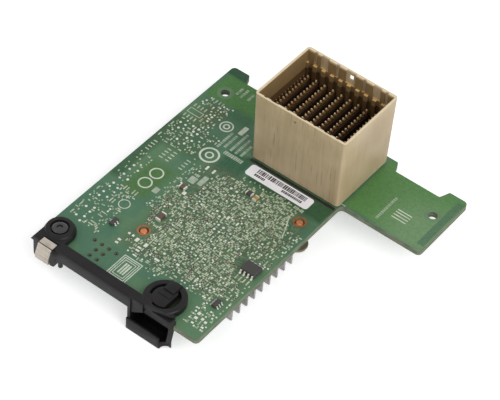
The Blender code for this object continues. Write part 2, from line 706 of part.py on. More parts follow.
def hook_parts():
    """The open-fronted hook that hangs under the bracket's right end."""
    low = FLOOR
    roof = UNDER_FACE - SEAT_GAP
    side = (
        (-HOOK_FRONT, low), (HOOK_BACK, low), (HOOK_BACK, roof), (-SEAT_GAP, roof),
        (-SEAT_GAP, BRACKET_TOP), (-BRACKET_FRONT, BRACKET_TOP), (-BRACKET_FRONT, low + HOOK_LIP),
        (-HOOK_FRONT, low + HOOK_LIP),
    )
    gusset = (
        (-BRACKET_FRONT, UNDER_FACE - HOOK_GUSSET_DROP), (-BRACKET_FRONT, BRACKET_TOP),
        (-SEAT_GAP, BRACKET_TOP), (-SEAT_GAP, UNDER_FACE - HOOK_GUSSET_DROP),
    )
    return {
        "hook_left": side_prism(side, HOOK_LEFT, HOOK_LEFT + HOOK_WALL),
        "hook_right": side_prism(side, HOOK_RIGHT - HOOK_WALL, HOOK_RIGHT),
        "hook_gusset": side_prism(gusset, HOOK_LEFT, HOOK_LEFT + HOOK_GUSSET_WIDTH),
        "hook_back": box(HOOK_LEFT, HOOK_BACK - HOOK_WALL, low, HOOK_RIGHT, HOOK_BACK, roof),
        "hook_floor": box(HOOK_LEFT, -HOOK_FRONT, low, HOOK_RIGHT, HOOK_BACK, low + HOOK_WALL),
        "hook_lip": box(HOOK_LEFT, -HOOK_FRONT, low, HOOK_RIGHT, HOOK_WALL - HOOK_FRONT, low + HOOK_LIP),
    }


def build_bracket(frame, material):
    """The moulded bracket: a bar with two bosses, a skirt, a locating peg and a hook."""
    lap_gap = SEAT_GAP
    parts = {**bracket_parts(), **hook_parts()}
    bracket = add_object("bracket", parts.pop("lap"), frame, material)
    for name, solid in parts.items():
        combine(bracket, add_object(f"bracket_{name}", solid, frame), "UNION")
    bore = prism(circle(RING_X, RING_Y, RING_BORE, 36), -lap_gap, RING_TOP + lap_gap)
    bore_cut = add_object("ring_bore_cut", bore, frame)
    core = prism(circle(RING_X, RING_Y, CORE_DIAMETER, 32), -2 * lap_gap, CORE_TOP)
    core_keep = add_object("ring_core_keep", core, frame)
    half = CORE_DIAMETER / 2
    beyond = box(RING_X + CORE_FLAT_OFFSET, RING_Y - half - lap_gap, -3 * lap_gap,
                 RING_X + half + lap_gap, RING_Y + half + lap_gap, CORE_TOP + lap_gap)
    combine(core_keep, add_object("ring_core_flat", beyond, frame))
    web = box(RING_X - RING_BORE / 2 - lap_gap, RING_Y - RING_BORE / 2 - lap_gap, -2 * lap_gap,
              RING_X - RING_BORE / 6, RING_Y - RING_BORE / 6, BRACKET_TOP)
    combine(core_keep, add_object("ring_core_web", web, frame), "UNION")
    combine(bore_cut, core_keep)
    combine(bracket, bore_cut)
    counterbore = prism(circle(BOSS_X, BOSS_Y, COUNTERBORE_DIAMETER), BOSS_TOP - COUNTERBORE_DEPTH,
                        BOSS_TOP + lap_gap)
    combine(bracket, add_object("boss_counterbore", counterbore, frame))
    shank = prism(circle(BOSS_X, BOSS_Y, SCREW_SHANK_DIAMETER + 2 * SEAT_GAP), -lap_gap, BOSS_TOP)
    combine(bracket, add_object("boss_shank_cut", shank, frame))
    pocket = box(CLIP_LEFT - SEAT_GAP, -BRACKET_FRONT - lap_gap, BRACKET_TOP - CLIP_POCKET,
                 CLIP_LEFT + CLIP_WIDTH + SEAT_GAP, SEAT_GAP, BRACKET_TOP + lap_gap)
    combine(bracket, add_object("clip_pocket_cut", pocket, frame))
    arch = side_prism([(HOOK_BACK / 2 + y, FLOOR + z) for y, z in circle(0.0, 0.0, 2 * HOOK_ARCH_RADIUS, 16)],
                      HOOK_RIGHT - 2 * HOOK_WALL, HOOK_RIGHT + lap_gap)
    combine(bracket, add_object("hook_arch_cut", arch, frame))


def build_bracket_screw(frame, material):
    """The screw that holds the bracket's boss to the board."""
    seat = BOSS_TOP - COUNTERBORE_DEPTH + SEAT_GAP
    top = seat + SCREW_HEAD_HEIGHT
    head = SCREW_HEAD_DIAMETER / 2
    shank = SCREW_SHANK_DIAMETER / 2
    crown = SCREW_CROWN_DIAMETER / 2
    socket = SCREW_SOCKET_DIAMETER / 2
    profile = (
        (0.0, UNDER_FACE), (shank, UNDER_FACE), (shank, seat), (head, seat),
        (head, seat + SCREW_RIM_HEIGHT), (crown, top), (socket, top),
        (socket, top - SCREW_SOCKET_DEPTH), (0.0, top - SCREW_SOCKET_DEPTH),
    )
    screw = add_object("bracket_screw", turned(profile), frame, material, (BOSS_X, BOSS_Y, 0.0))
    smooth_round(screw)


def thick_path(path, thickness):
    """Outline of a bent sheet: the path and its copy moved to the left by the thickness."""
    moved = []
    for index, point in enumerate(path):
        before = Vector(path[max(index - 1, 0)])
        after = Vector(path[min(index + 1, len(path) - 1)])
        along = (after - before).normalized()
        moved.append((point[0] - along.y * thickness, point[1] + along.x * thickness))
    return list(path) + list(reversed(moved))


def build_clip(frame, material):
    """The bright spring clip folded over the bracket's near edge."""
    top = BRACKET_TOP - CLIP_POCKET + SEAT_GAP
    bend = -BRACKET_FRONT - SEAT_GAP
    path = [(bend + CLIP_TOP_LENGTH, top), (bend, top)]
    path += arc((bend, top - 2 * CLIP_THICKNESS), 2 * CLIP_THICKNESS, CLIP_BEND_START, CLIP_BEND_END)
    path += [(-CLIP_REACH + CLIP_THICKNESS, -CLIP_DROP / 2), (-CLIP_REACH + CLIP_THICKNESS, -CLIP_DROP)]
    path.append((-CLIP_REACH + 3 * CLIP_THICKNESS, -CLIP_DROP - CLIP_THICKNESS))
    outline = thick_path(path, -CLIP_THICKNESS)
    add_object("spring_clip", side_prism(outline, CLIP_LEFT, CLIP_LEFT + CLIP_WIDTH), frame, material)


def build_soic(name, frame, material, x, y, side):
    """An eight-lead chip: side is 1 on the upper face and -1 on the under face."""
    low = SEAT_GAP
    high = low + SOIC_HEIGHT
    mid = (low + high) / 2
    length = SOIC_LENGTH / 2
    width = SOIC_WIDTH / 2
    draft = SOIC_HEIGHT / 8
    wide = rectangle(-length, -width, length, width)
    slim = rectangle(draft - length, draft - width, length - draft, width - draft)
    place = (x, y, 0.0 if side > 0 else UNDER_FACE)
    body = add_object(name, loft(((slim, low), (wide, mid), (slim, high))), frame, material, place)
    thick = LEAD_THICKNESS
    reach = width + LEAD_REACH
    foot = reach - LEAD_FOOT
    for sign in (-1, 1):
        for index in range(SOIC_LEADS_A_SIDE):
            lead_x = (index - (SOIC_LEADS_A_SIDE - 1) / 2) * SOIC_PITCH
            path = [(sign * (width - thick), mid + thick / 2), (sign * (foot - thick), mid + thick / 2),
                    (sign * foot, low + thick), (sign * reach, low + thick)]
            under = [(path[3][0], low), (path[2][0] - sign * thick, low),
                     (path[1][0] - sign * thick, mid - thick / 2), (path[0][0], mid - thick / 2)]
            lead = side_prism(path + under, lead_x - LEAD_WIDTH / 2, lead_x + LEAD_WIDTH / 2)
            tool = add_object(f"{name}_lead_{sign}_{index}", lead, frame, place=place)
            if side < 0:
                tool.rotation_euler = (math.pi, 0.0, 0.0)
            combine(body, tool, "UNION")
    if side < 0:
        body.rotation_euler = (math.pi, 0.0, 0.0)
    return body


def under_places():
    """Name, centre, plan size and height of each inductor and capacitor under the board."""
    inductor = (INDUCTOR_SIZE, INDUCTOR_SIZE, INDUCTOR_HEIGHT)
    lying = (CAPACITOR_LENGTH, CAPACITOR_WIDTH, CAPACITOR_HEIGHT)
    standing = (CAPACITOR_WIDTH, CAPACITOR_LENGTH, CAPACITOR_HEIGHT)
    places = []
    near = UNDER_COLUMN_NEAR
    column = (("power_inductor_1", inductor), ("power_inductor_2", inductor),
              ("bulk_capacitor_1", lying), ("bulk_capacitor_2", lying))
    for name, size in column:
        places.append((name, UNDER_COLUMN_X, near + size[1] / 2, *size))
        near += size[1] + UNDER_COLUMN_GAP
    tab_y = TAB_FRONT + TAB_DEPTH / 2
    capacitor_x = MAIN_WIDTH + UNDER_TAB_MARGIN + CAPACITOR_WIDTH / 2
    inductor_x = capacitor_x + CAPACITOR_WIDTH / 2 + UNDER_COLUMN_GAP + INDUCTOR_SIZE / 2
    places.append(("bulk_capacitor_3", capacitor_x, tab_y, *standing))
    places.append(("power_inductor_3", inductor_x, tab_y, *inductor))
    return places


def build_under_parts(frame, case_material, can_material):
    """Inductors, capacitors and the crystal on the under face, with their edges broken."""
    top = UNDER_FACE - SEAT_GAP
    for name, x, y, across, along, height in under_places():
        cut = UNDER_CHAMFER
        wide = rectangle(-across / 2, -along / 2, across / 2, along / 2, cut)
        slim = rectangle(cut - across / 2, cut - along / 2, across / 2 - cut, along / 2 - cut, cut / 2)
        solid = loft(((slim, top - height), (wide, top - height + cut), (wide, top)))
        add_object(name, solid, frame, case_material, (x, y, 0.0))
    half = CRYSTAL_WIDTH / 2 - UNDER_CHAMFER / 4
    can = rectangle(-CRYSTAL_LENGTH / 2, -CRYSTAL_WIDTH / 2, CRYSTAL_LENGTH / 2, CRYSTAL_WIDTH / 2, half)
    add_object("crystal_can", prism(can, top - CRYSTAL_HEIGHT, top), frame, can_material,
               (CRYSTAL_X, CRYSTAL_Y, 0.0))


def main():
    """Build the whole card."""
    clear_scene()
    frame = bpy.data.objects.new("card_frame", None)
    bpy.context.scene.collection.objects.link(frame)
    frame.location = (-BOARD_WIDTH / 2, -(BOARD_LENGTH - CLIP_REACH) / 2, FLOOR_DEPTH)
    laminate = make_material("board_laminate", (0.05, 0.16, 0.09), 0.45)
    beige = make_material("beige_moulding", (0.48, 0.37, 0.25), 0.5)
    dark = make_material("dark_insulator", (0.05, 0.035, 0.025), 0.55)
    gold = make_material("contact_plating", (0.75, 0.62, 0.38), 0.3, 1.0)
    aluminium = make_material("aluminium", (0.55, 0.55, 0.56), 0.35, 1.0)
    brass = make_material("pin_metal", (0.72, 0.40, 0.22), 0.3, 1.0)
    steel = make_material("spring_steel", (0.72, 0.70, 0.67), 0.3, 1.0)
    black = make_material("black_moulding", (0.028, 0.026, 0.028), 0.5)
    epoxy = make_material("chip_epoxy", (0.035, 0.035, 0.036), 0.5)
    package = make_material("package_laminate", (0.06, 0.14, 0.08), 0.5)
    pad = make_material("thermal_pad_grey", (0.35, 0.36, 0.38), 0.8)
    build_board(frame, laminate)
    build_shroud(frame, beige)
    build_wafers(frame, dark)
    build_contacts(frame, gold)
    build_controller(frame, package, pad)
    build_heat_sink(frame, aluminium)
    build_pins(frame, brass)
    build_springs(frame, steel)
    build_bracket(frame, black)
    build_bracket_screw(frame, black)
    build_clip(frame, steel)
    build_soic("driver_chip", frame, epoxy, SOIC_X, SOIC_Y, 1)
    build_soic("flash_chip", frame, epoxy, FLASH_X, FLASH_Y, -1)
    build_under_parts(frame, epoxy, steel)


main()
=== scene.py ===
"""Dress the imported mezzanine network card: its finishes, fine surface parts, studio and camera.

The card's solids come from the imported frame. Each of them gets its own finish here, finer pieces
stand in for the few that need one, and what is too small for the solids is added to both faces of
the board: solder pads, plated rings, small chips, solder joints, printing and the label. Layouts are
in millimetres on the card, counted from the board's near left corner, with heights counted from the
board's upper face.
"""
import logging
import math
import random
from dataclasses import dataclass
from enum import Enum

import bmesh
import bpy
from mathutils import Matrix, Vector


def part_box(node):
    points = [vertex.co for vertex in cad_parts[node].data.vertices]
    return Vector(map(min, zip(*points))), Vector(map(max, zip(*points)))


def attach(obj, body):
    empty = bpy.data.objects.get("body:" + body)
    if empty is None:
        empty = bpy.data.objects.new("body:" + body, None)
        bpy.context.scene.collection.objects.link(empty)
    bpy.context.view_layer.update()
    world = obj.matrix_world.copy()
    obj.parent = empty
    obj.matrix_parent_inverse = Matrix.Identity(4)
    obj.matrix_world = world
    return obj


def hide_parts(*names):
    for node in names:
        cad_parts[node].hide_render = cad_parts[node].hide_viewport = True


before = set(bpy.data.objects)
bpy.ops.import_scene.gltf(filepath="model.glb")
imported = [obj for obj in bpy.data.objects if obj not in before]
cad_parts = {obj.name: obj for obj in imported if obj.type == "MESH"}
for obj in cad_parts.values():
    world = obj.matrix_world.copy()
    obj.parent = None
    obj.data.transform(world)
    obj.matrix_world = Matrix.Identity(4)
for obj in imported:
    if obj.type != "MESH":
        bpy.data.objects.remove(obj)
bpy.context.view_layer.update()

log = logging.getLogger("network_card")

MM = 0.001
ROOT = "root"

Point = tuple[float, float]
Colour = tuple[float, float, float]
Span = tuple[float, float]


def shade(red: int, green: int, blue: int) -> Colour:
    """Return the linear colour of a shade given as it looks on a screen, from 0 to 255.

    Args:
        red: The red part.
        green: The green part.
        blue: The blue part.

    Returns:
        The linear colour.
    """
    values = []
    for part in (red, green, blue):
        level = part / 255.0
        values.append(level / 12.92 if level <= 0.04045 else ((level + 0.055) / 1.055) ** 2.4)
    return (values[0], values[1], values[2])


class Turn(Enum):
    """The way that a part lies on the board, in degrees about the upright axis."""

    ACROSS = 0.0
    ALONG = 90.0


@dataclass(frozen=True)
class Card:
    """Where the card's own millimetres lie in the row frame."""

    left: float
    near: float
    face: float
    right: float
    far: float

    @classmethod
    def measured(cls) -> "Card":
        """Return the card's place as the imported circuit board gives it."""
        low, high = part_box("circuit_board")
        return cls(low.x, low.y, high.z, high.x, high.y)

    def place(self, x: float, y: float, z: float = 0.0) -> Vector:
        """Return the row frame's point, in metres, of a point in card millimetres."""
        return Vector((self.left + x * MM, self.near + y * MM, self.face + z * MM))

    def inside(self, point: Vector) -> Vector:
        """Return a row frame point in card millimetres."""
        return Vector(((point.x - self.left) / MM, (point.y - self.near) / MM, (point.z - self.face) / MM))


CARD = Card.measured()


class Wiring:
    """A node tree and the short calls that add to it."""

    def __init__(self, tree: bpy.types.NodeTree) -> None:
        """Keep the tree."""
        self.tree = tree

    def node(self, kind: str, **settings: object) -> bpy.types.Node:
        """Add a node and set its own settings.

        Args:
            kind: The node's type.
            settings: Its own settings, by name.

        Returns:
            The node.
        """
        made = self.tree.nodes.new(kind)
        for key, value in settings.items():
            setattr(made, key, value)
        return made

    def feed(self, socket: bpy.types.NodeSocket, value: object) -> None:
        """Give an input a link, if the value is an output, or a constant.

        Args:
            socket: The input.
            value: An output to link, or a constant.
        """
        if isinstance(value, bpy.types.NodeSocket):
            self.tree.links.new(value, socket)
        elif isinstance(value, tuple) and len(value) == 3 and socket.type == "RGBA":
            socket.default_value = (*value, 1.0)
        else:
            socket.default_value = value

    def step(self, kind: str, output: int | str = 0, **inputs: object) -> bpy.types.NodeSocket:
        """Add a node, feed its inputs and return one of its outputs.

        Args:
            kind: The node's type.
            output: The name or number of the output.
            inputs: What its inputs get, by name with underscores for spaces.

        Returns:
            The output.
        """
        made = self.node(kind)
        for key, value in inputs.items():
            self.feed(made.inputs[key.replace("_", " ")], value)
        return made.outputs[output]

    def sum(self, operation: str, first: object, second: object = 0.0, clamp: bool = False) -> bpy.types.NodeSocket:
        """Return the result of one arithmetic step.

        Args:
            operation: The step's own name for what it does.
            first: The first value.
            second: The second value.
            clamp: Whether the result is held between 0 and 1.

        Returns:
            The result.
        """
        step = self.node("ShaderNodeMath", operation=operation, use_clamp=clamp)
        self.feed(step.inputs[0], first)
        self.feed(step.inputs[1], second)
        return step.outputs[0]


class Recipe(Wiring):
    """One node material, written from the shader backwards."""

    def __init__(self, name: str) -> None:
        """Start a material around one Principled shader.

        Args:
            name: The material's name.
        """
        self.material = bpy.data.materials.new(name)
        self.material.use_nodes = True
        super().__init__(self.material.node_tree)
        self.shader = self.tree.nodes["Principled BSDF"]
        self.position = self.node("ShaderNodeTexCoord").outputs["Object"]

    def between(self, value: object, low: float, high: float, start: float = 0.0,
                end: float = 1.0) -> bpy.types.NodeSocket:
        """Return the value carried from the range low to high over to start to end, and held there.

        Args:
            value: The value that is carried over.
            low: Where its range starts.
            high: Where its range ends.
            start: The result at low.
            end: The result at high.

        Returns:
            The result.
        """
        step = self.node("ShaderNodeMapRange")
        for index, part in enumerate((value, low, high, start, end)):
            self.feed(step.inputs[index], part)
        return step.outputs[0]

    def blend(self, share: object, first: object, second: object) -> bpy.types.NodeSocket:
        """Return a colour between two others.

        Args:
            share: How much of the second shows.
            first: The first colour.
            second: The second colour.

        Returns:
            The mixed colour.
        """
        step = self.node("ShaderNodeMix", data_type="RGBA")
        for index, part in ((0, share), (6, first), (7, second)):
            self.feed(step.inputs[index], part)
        return step.outputs[2]

    def stretched(self, x: float, y: float, z: float) -> bpy.types.NodeSocket:
        """Return the position with each axis scaled, so that a pattern runs long along one of them."""
        return self.step("ShaderNodeMapping", Vector=self.position, Scale=(x, y, z))

    def noise(self, size: float, detail: float = 2.0, vector: object = None) -> bpy.types.NodeSocket:
        """Return a cloudy pattern whose clouds are about size metres across."""
        place = self.position if vector is None else vector
        return self.step("ShaderNodeTexNoise", Vector=place, Scale=1.0 / size, Detail=detail)

    def cells(self, size: float) -> bpy.types.NodeSocket:
        """Return each cell's own grey in a pattern of cells about size metres across."""
        colour = self.step("ShaderNodeTexVoronoi", "Color", Vector=self.position, Scale=1.0 / size)
        return self.step("ShaderNodeSeparateColor", Color=colour)

    def axis(self, name: str) -> bpy.types.NodeSocket:
        """Return one coordinate of the position, in metres."""
        return self.step("ShaderNodeSeparateXYZ", name, Vector=self.position)

    def facing(self, name: str) -> bpy.types.NodeSocket:
        """Return one part of the true surface direction."""
        normal = self.node("ShaderNodeNewGeometry").outputs["True Normal"]
        return self.step("ShaderNodeSeparateXYZ", name, Vector=normal)

    def roughen(self, height: object, depth: float, strength: float = 1.0) -> None:
        """Press a height pattern into the surface, depth metres deep."""
        bump = self.step("ShaderNodeBump", Strength=strength, Distance=depth, Height=height)
        self.feed(self.shader.inputs["Normal"], bump)

    def finish(self, colour: object, roughness: object, metallic: float = 0.0, **sockets: object) -> bpy.types.Material:
        """Connect the shader's main inputs and return the material.

        Args:
            colour: The base colour, a constant or an output.
            roughness: The roughness, a constant or an output.
            metallic: Zero for everything but bare metal.
            sockets: Other inputs of the shader, by name with underscores for spaces.

        Returns:
            The finished material.
        """
        self.feed(self.shader.inputs["Base Color"], colour)
        self.feed(self.shader.inputs["Roughness"], roughness)
        self.shader.inputs["Metallic"].default_value = metallic
        for key, value in sockets.items():
            self.shader.inputs[key.replace("_", " ")].default_value = value
        return self.material


@dataclass(frozen=True)
class Patch:
    """A box of the card, in card millimetres, in which a finish takes on another tone."""

    tone: Colour
    x: Span | None = None
    y: Span | None = None
    z: Span | None = None
    soft: float = 0.5
    strength: float = 1.0
    wander: float = 0.0

    def share(self, recipe: Recipe, clouds: object = 0.0) -> bpy.types.NodeSocket:
        """Return how much of the tone shows at each point.

        Args:
            recipe: The material's recipe.
            clouds: A pattern about zero that bends the box's border by the patch's wander.

        Returns:
            The share, from 0 to the patch's strength.
        """
        total = recipe.sum("MULTIPLY", self.strength, 1.0)
        for name, span, start in (("X", self.x, CARD.left), ("Y", self.y, CARD.near), ("Z", self.z, CARD.face)):
            if span is None:
                continue
            middle = start + (span[0] + span[1]) / 2 * MM
            away = recipe.sum("ABSOLUTE", recipe.sum("SUBTRACT", recipe.axis(name), middle))
            if self.wander > 0.0:
                away = recipe.sum("ADD", away, recipe.sum("MULTIPLY", clouds, self.wander * MM))
            half = (span[1] - span[0]) / 2 * MM
            total = recipe.sum("MULTIPLY", total,
                               recipe.between(away, half - self.soft * MM, half + self.soft * MM, 1.0, 0.0))
        return total

    def over(self, recipe: Recipe, colour: object, grain: object, clouds: object = 0.0) -> bpy.types.NodeSocket:
        """Return a colour with the patch laid over it, the tone itself varied by a grain."""
        darker = tuple(part * 0.8 for part in self.tone)
        return recipe.blend(self.share(recipe, clouds), colour, recipe.blend(grain, darker, self.tone))


@dataclass(frozen=True)
class Grained:
    """A cast, moulded, printed or plated finish: one shade that clouds over into another."""

    name: str
    light: Colour
    dark: Colour
    cloud: float = 0.002
    grain: float = 0.0001
    roughness: float = 0.5
    metallic: float = 0.0
    depth: float = 0.000008
    shine: float = 0.5
    patches: tuple[Patch, ...] = ()

    def make(self) -> bpy.types.Material:
        """Return the finish as a material.

        Returns:
            The material.
        """
        recipe = Recipe(self.name)
        clouds = recipe.noise(self.cloud, 3.0)
        fine = recipe.noise(self.grain, 1.0)
        share = recipe.between(recipe.sum("ADD", clouds, recipe.sum("MULTIPLY", fine, 0.5)), 0.45, 1.05)
        rough = recipe.between(clouds, 0.3, 0.7, self.roughness * 0.86, min(1.0, self.roughness * 1.14))
        colour = recipe.blend(share, self.dark, self.light)
        for patch in self.patches:
            colour = patch.over(recipe, colour, share)
        recipe.roughen(fine, self.depth)
        return recipe.finish(colour, rough, self.metallic, Specular_IOR_Level=self.shine)


@dataclass(frozen=True)
class SolderMask:
    """Green lacquer over copper and bare laminate, with the laminate's own edge."""

    name: str
    over_copper: Colour
    over_laminate: Colour
    edge_light: Colour
    edge_dark: Colour
    track: Colour
    gap: Colour
    crowded: Patch
    zones: tuple[Patch, ...]

    def make(self) -> bpy.types.Material:
        """Return the board's material: lacquered faces and layered edges.

        Returns:
            The material.
        """
        recipe = Recipe(self.name)
        wander = recipe.sum("SUBTRACT", recipe.noise(0.006, 2.0), 0.5)
        pours = recipe.between(recipe.noise(0.014, 3.0), 0.44, 0.56)
        mottle = recipe.between(recipe.noise(0.0008, 3.0), 0.3, 0.7)
        colour = recipe.blend(pours, self.over_laminate, self.over_copper)
        for zone in self.zones:
            colour = zone.over(recipe, colour, mottle, wander)
        busy = recipe.sum("ADD", self.crowded.share(recipe, wander), 0.05, clamp=True)
        tracks = self.tracks(recipe)
        lines = recipe.sum("MULTIPLY", recipe.between(tracks, 0.53, 0.58), busy)
        gaps = recipe.sum("MULTIPLY", recipe.between(tracks, 0.40, 0.46, 1.0, 0.0), busy)
        colour = recipe.blend(lines, colour, self.track)
        colour = recipe.blend(recipe.sum("MULTIPLY", gaps, 0.7), colour, self.gap)
        layers = recipe.noise(0.00035, 2.0, recipe.stretched(0.12, 0.12, 1.0))
        edge = recipe.blend(recipe.between(layers, 0.35, 0.65), self.edge_dark, self.edge_light)
        flat = recipe.between(recipe.sum("ABSOLUTE", recipe.facing("Z")), 0.5, 0.6)
        colour = recipe.blend(flat, edge, colour)
        rough = recipe.between(flat, 0.0, 1.0, 0.85, 0.40)
        recipe.roughen(mottle, 0.00001, 0.3)
        return recipe.finish(colour, rough, Specular_IOR_Level=0.22)

    @staticmethod
    def tracks(recipe: Recipe) -> bpy.types.NodeSocket:
        """Return a pattern of short lines that run across in some cells of the board and along in others.

        Args:
            recipe: The material's recipe.

        Returns:
            The pattern, from 0 to 1.
        """
        across = recipe.noise(0.00036, 1.0, recipe.stretched(0.2, 1.0, 1.0))
        along = recipe.noise(0.00036, 1.0, recipe.stretched(1.0, 0.2, 1.0))
        turn = recipe.between(recipe.cells(0.0026), 0.48, 0.52)
        return recipe.sum("ADD", recipe.sum("MULTIPLY", along, turn),
                          recipe.sum("MULTIPLY", across, recipe.sum("SUBTRACT", 1.0, turn)))


@dataclass(frozen=True)
class BoxMoulding:
    """A filled plastic box: faint flow lines on its broad faces, a painted highlight along its rim, painted shade on
    its walls inside and painted light on the upward faces of its inner ledges.
    """

    name: str
    node: str
    light: Colour
    dark: Colour
    line: Colour
    # The rim tone is a painted highlight, the ledge tone is painted light on upward faces inside, and the inner tones
    # are painted shade on the walls inside.
    rim_highlight: Colour
    ledge_light: Colour
    inner: tuple[Colour, Colour]
    side_wall: float
    end_wall: float
    roughness: float

    def make(self) -> bpy.types.Material:
        """Return the box's material.

        Returns:
            The material.
        """
        recipe = Recipe(self.name)
        low, high = (CARD.inside(corner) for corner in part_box(self.node))
        flow = recipe.noise(0.0012, 3.0, recipe.stretched(1.0, 1.0, 0.04))
        thin = recipe.noise(0.00034, 2.0, recipe.stretched(1.0, 1.0, 0.035))
        clouds = recipe.noise(0.010, 2.0)
        fine = recipe.noise(0.00018, 1.0)
        mixed = recipe.sum("ADD", recipe.sum("MULTIPLY", flow, 0.35), recipe.sum("MULTIPLY", clouds, 0.65))
        colour = recipe.blend(recipe.between(mixed, 0.34, 0.64), self.dark, self.light)
        broad = recipe.between(recipe.facing("Y"), -0.9, -0.7, 1.0, 0.15)
        colour = recipe.blend(recipe.sum("MULTIPLY", recipe.between(thin, 0.60, 0.72, 0.0, 0.75), broad),
                              colour, self.line)
        # Painted shade on the walls inside: darker all over, and darker still towards the bottom.
        within = {"x": (low.x + self.side_wall, high.x - self.side_wall),
                  "y": (low.y + self.end_wall, high.y - self.end_wall)}
        top = high.z
        for patch in (Patch(self.inner[0], **within, z=(-5.0, top - 0.25), soft=0.08),
                      Patch(self.inner[1], **within, z=(-5.0, top - 6.5), soft=0.08, strength=0.9),
                      Patch(self.inner[1], **within, z=(-5.0, top - 3.0), soft=2.5, strength=0.35)):
            colour = patch.over(recipe, colour, flow)
        # Painted light on the upward faces of the ledges inside.
        ledge_light_share = Patch(self.ledge_light, **within, z=(5.0, top - 0.4), soft=0.08).share(recipe)
        upward = recipe.between(recipe.facing("Z"), 0.6, 0.8)
        colour = recipe.blend(recipe.sum("MULTIPLY", ledge_light_share, upward), colour, self.ledge_light)
        # A painted highlight along the rim.
        colour = Patch(self.rim_highlight, z=(top - 0.16, top + 2.0), soft=0.06).over(recipe, colour, flow)
        recipe.roughen(recipe.sum("ADD", thin, fine), 0.000006, 0.5)
        return recipe.finish(colour, recipe.between(flow, 0.3, 0.7, self.roughness * 0.9, self.roughness * 1.1),
                             Specular_IOR_Level=0.35)


@dataclass(frozen=True)
class DrawnMetal:
    """Rolled or extruded metal, its fine lines running along one axis."""

    name: str
    light: Colour
    dark: Colour
    along: str
    roughness: float
    metallic: float = 0.85
    # A patch of painted shade along a crease, if one is given.
    crease_shade: Patch | None = None

    def make(self) -> bpy.types.Material:
        """Return the metal's material.

        Returns:
            The material.
        """
        recipe = Recipe(self.name)
        scales = [0.04 if name == self.along else 1.0 for name in "XYZ"]
        lines = recipe.noise(0.00022, 3.0, recipe.stretched(*scales))
        stains = recipe.noise(0.004, 3.0)
        share = recipe.between(recipe.sum("ADD", lines, stains), 0.75, 1.25)
        colour = recipe.blend(share, self.dark, self.light)
        if self.crease_shade:
            colour = self.crease_shade.over(recipe, colour, lines)
        recipe.roughen(lines, 0.000012, 0.7)
        return recipe.finish(colour,
                             recipe.between(stains, 0.3, 0.7, self.roughness * 0.85, self.roughness * 1.2),
                             self.metallic)


def round_outline(x: float, y: float, radius: float, sides: int) -> list[Point]:
    """Return the corners of a many-sided ring."""
    steps = (math.tau * index / sides for index in range(sides))
    return [(x + radius * math.cos(angle), y + radius * math.sin(angle)) for angle in steps]


def box_outline(x0: float, y0: float, x1: float, y1: float, radius: float = 0.0, steps: int = 4) -> list[Point]:
    """Return the corners of a rectangle, rounded where a radius is given.

    Args:
        x0: The left side.
        y0: The near side.
        x1: The right side.
        y1: The far side.
        radius: The corners' radius.
        steps: The straight pieces in each corner.

    Returns:
        The corners, in order round it.
    """
    if radius <= 0.0:
        return [(x0, y0), (x1, y0), (x1, y1), (x0, y1)]
    points = []
    for cx, cy, turn in ((x1 - radius, y0 + radius, -90), (x1 - radius, y1 - radius, 0),
                         (x0 + radius, y1 - radius, 90), (x0 + radius, y0 + radius, 180)):
        for index in range(steps + 1):
            angle = math.radians(turn + 90.0 * index / steps)
            points.append((cx + radius * math.cos(angle), cy + radius * math.sin(angle)))
    return points


@dataclass(frozen=True)
class Washer:
    """A flat ring: its two radii, the height of its upper face and its number of sides."""

    outer: float
    inner: float
    high: float
    sides: int


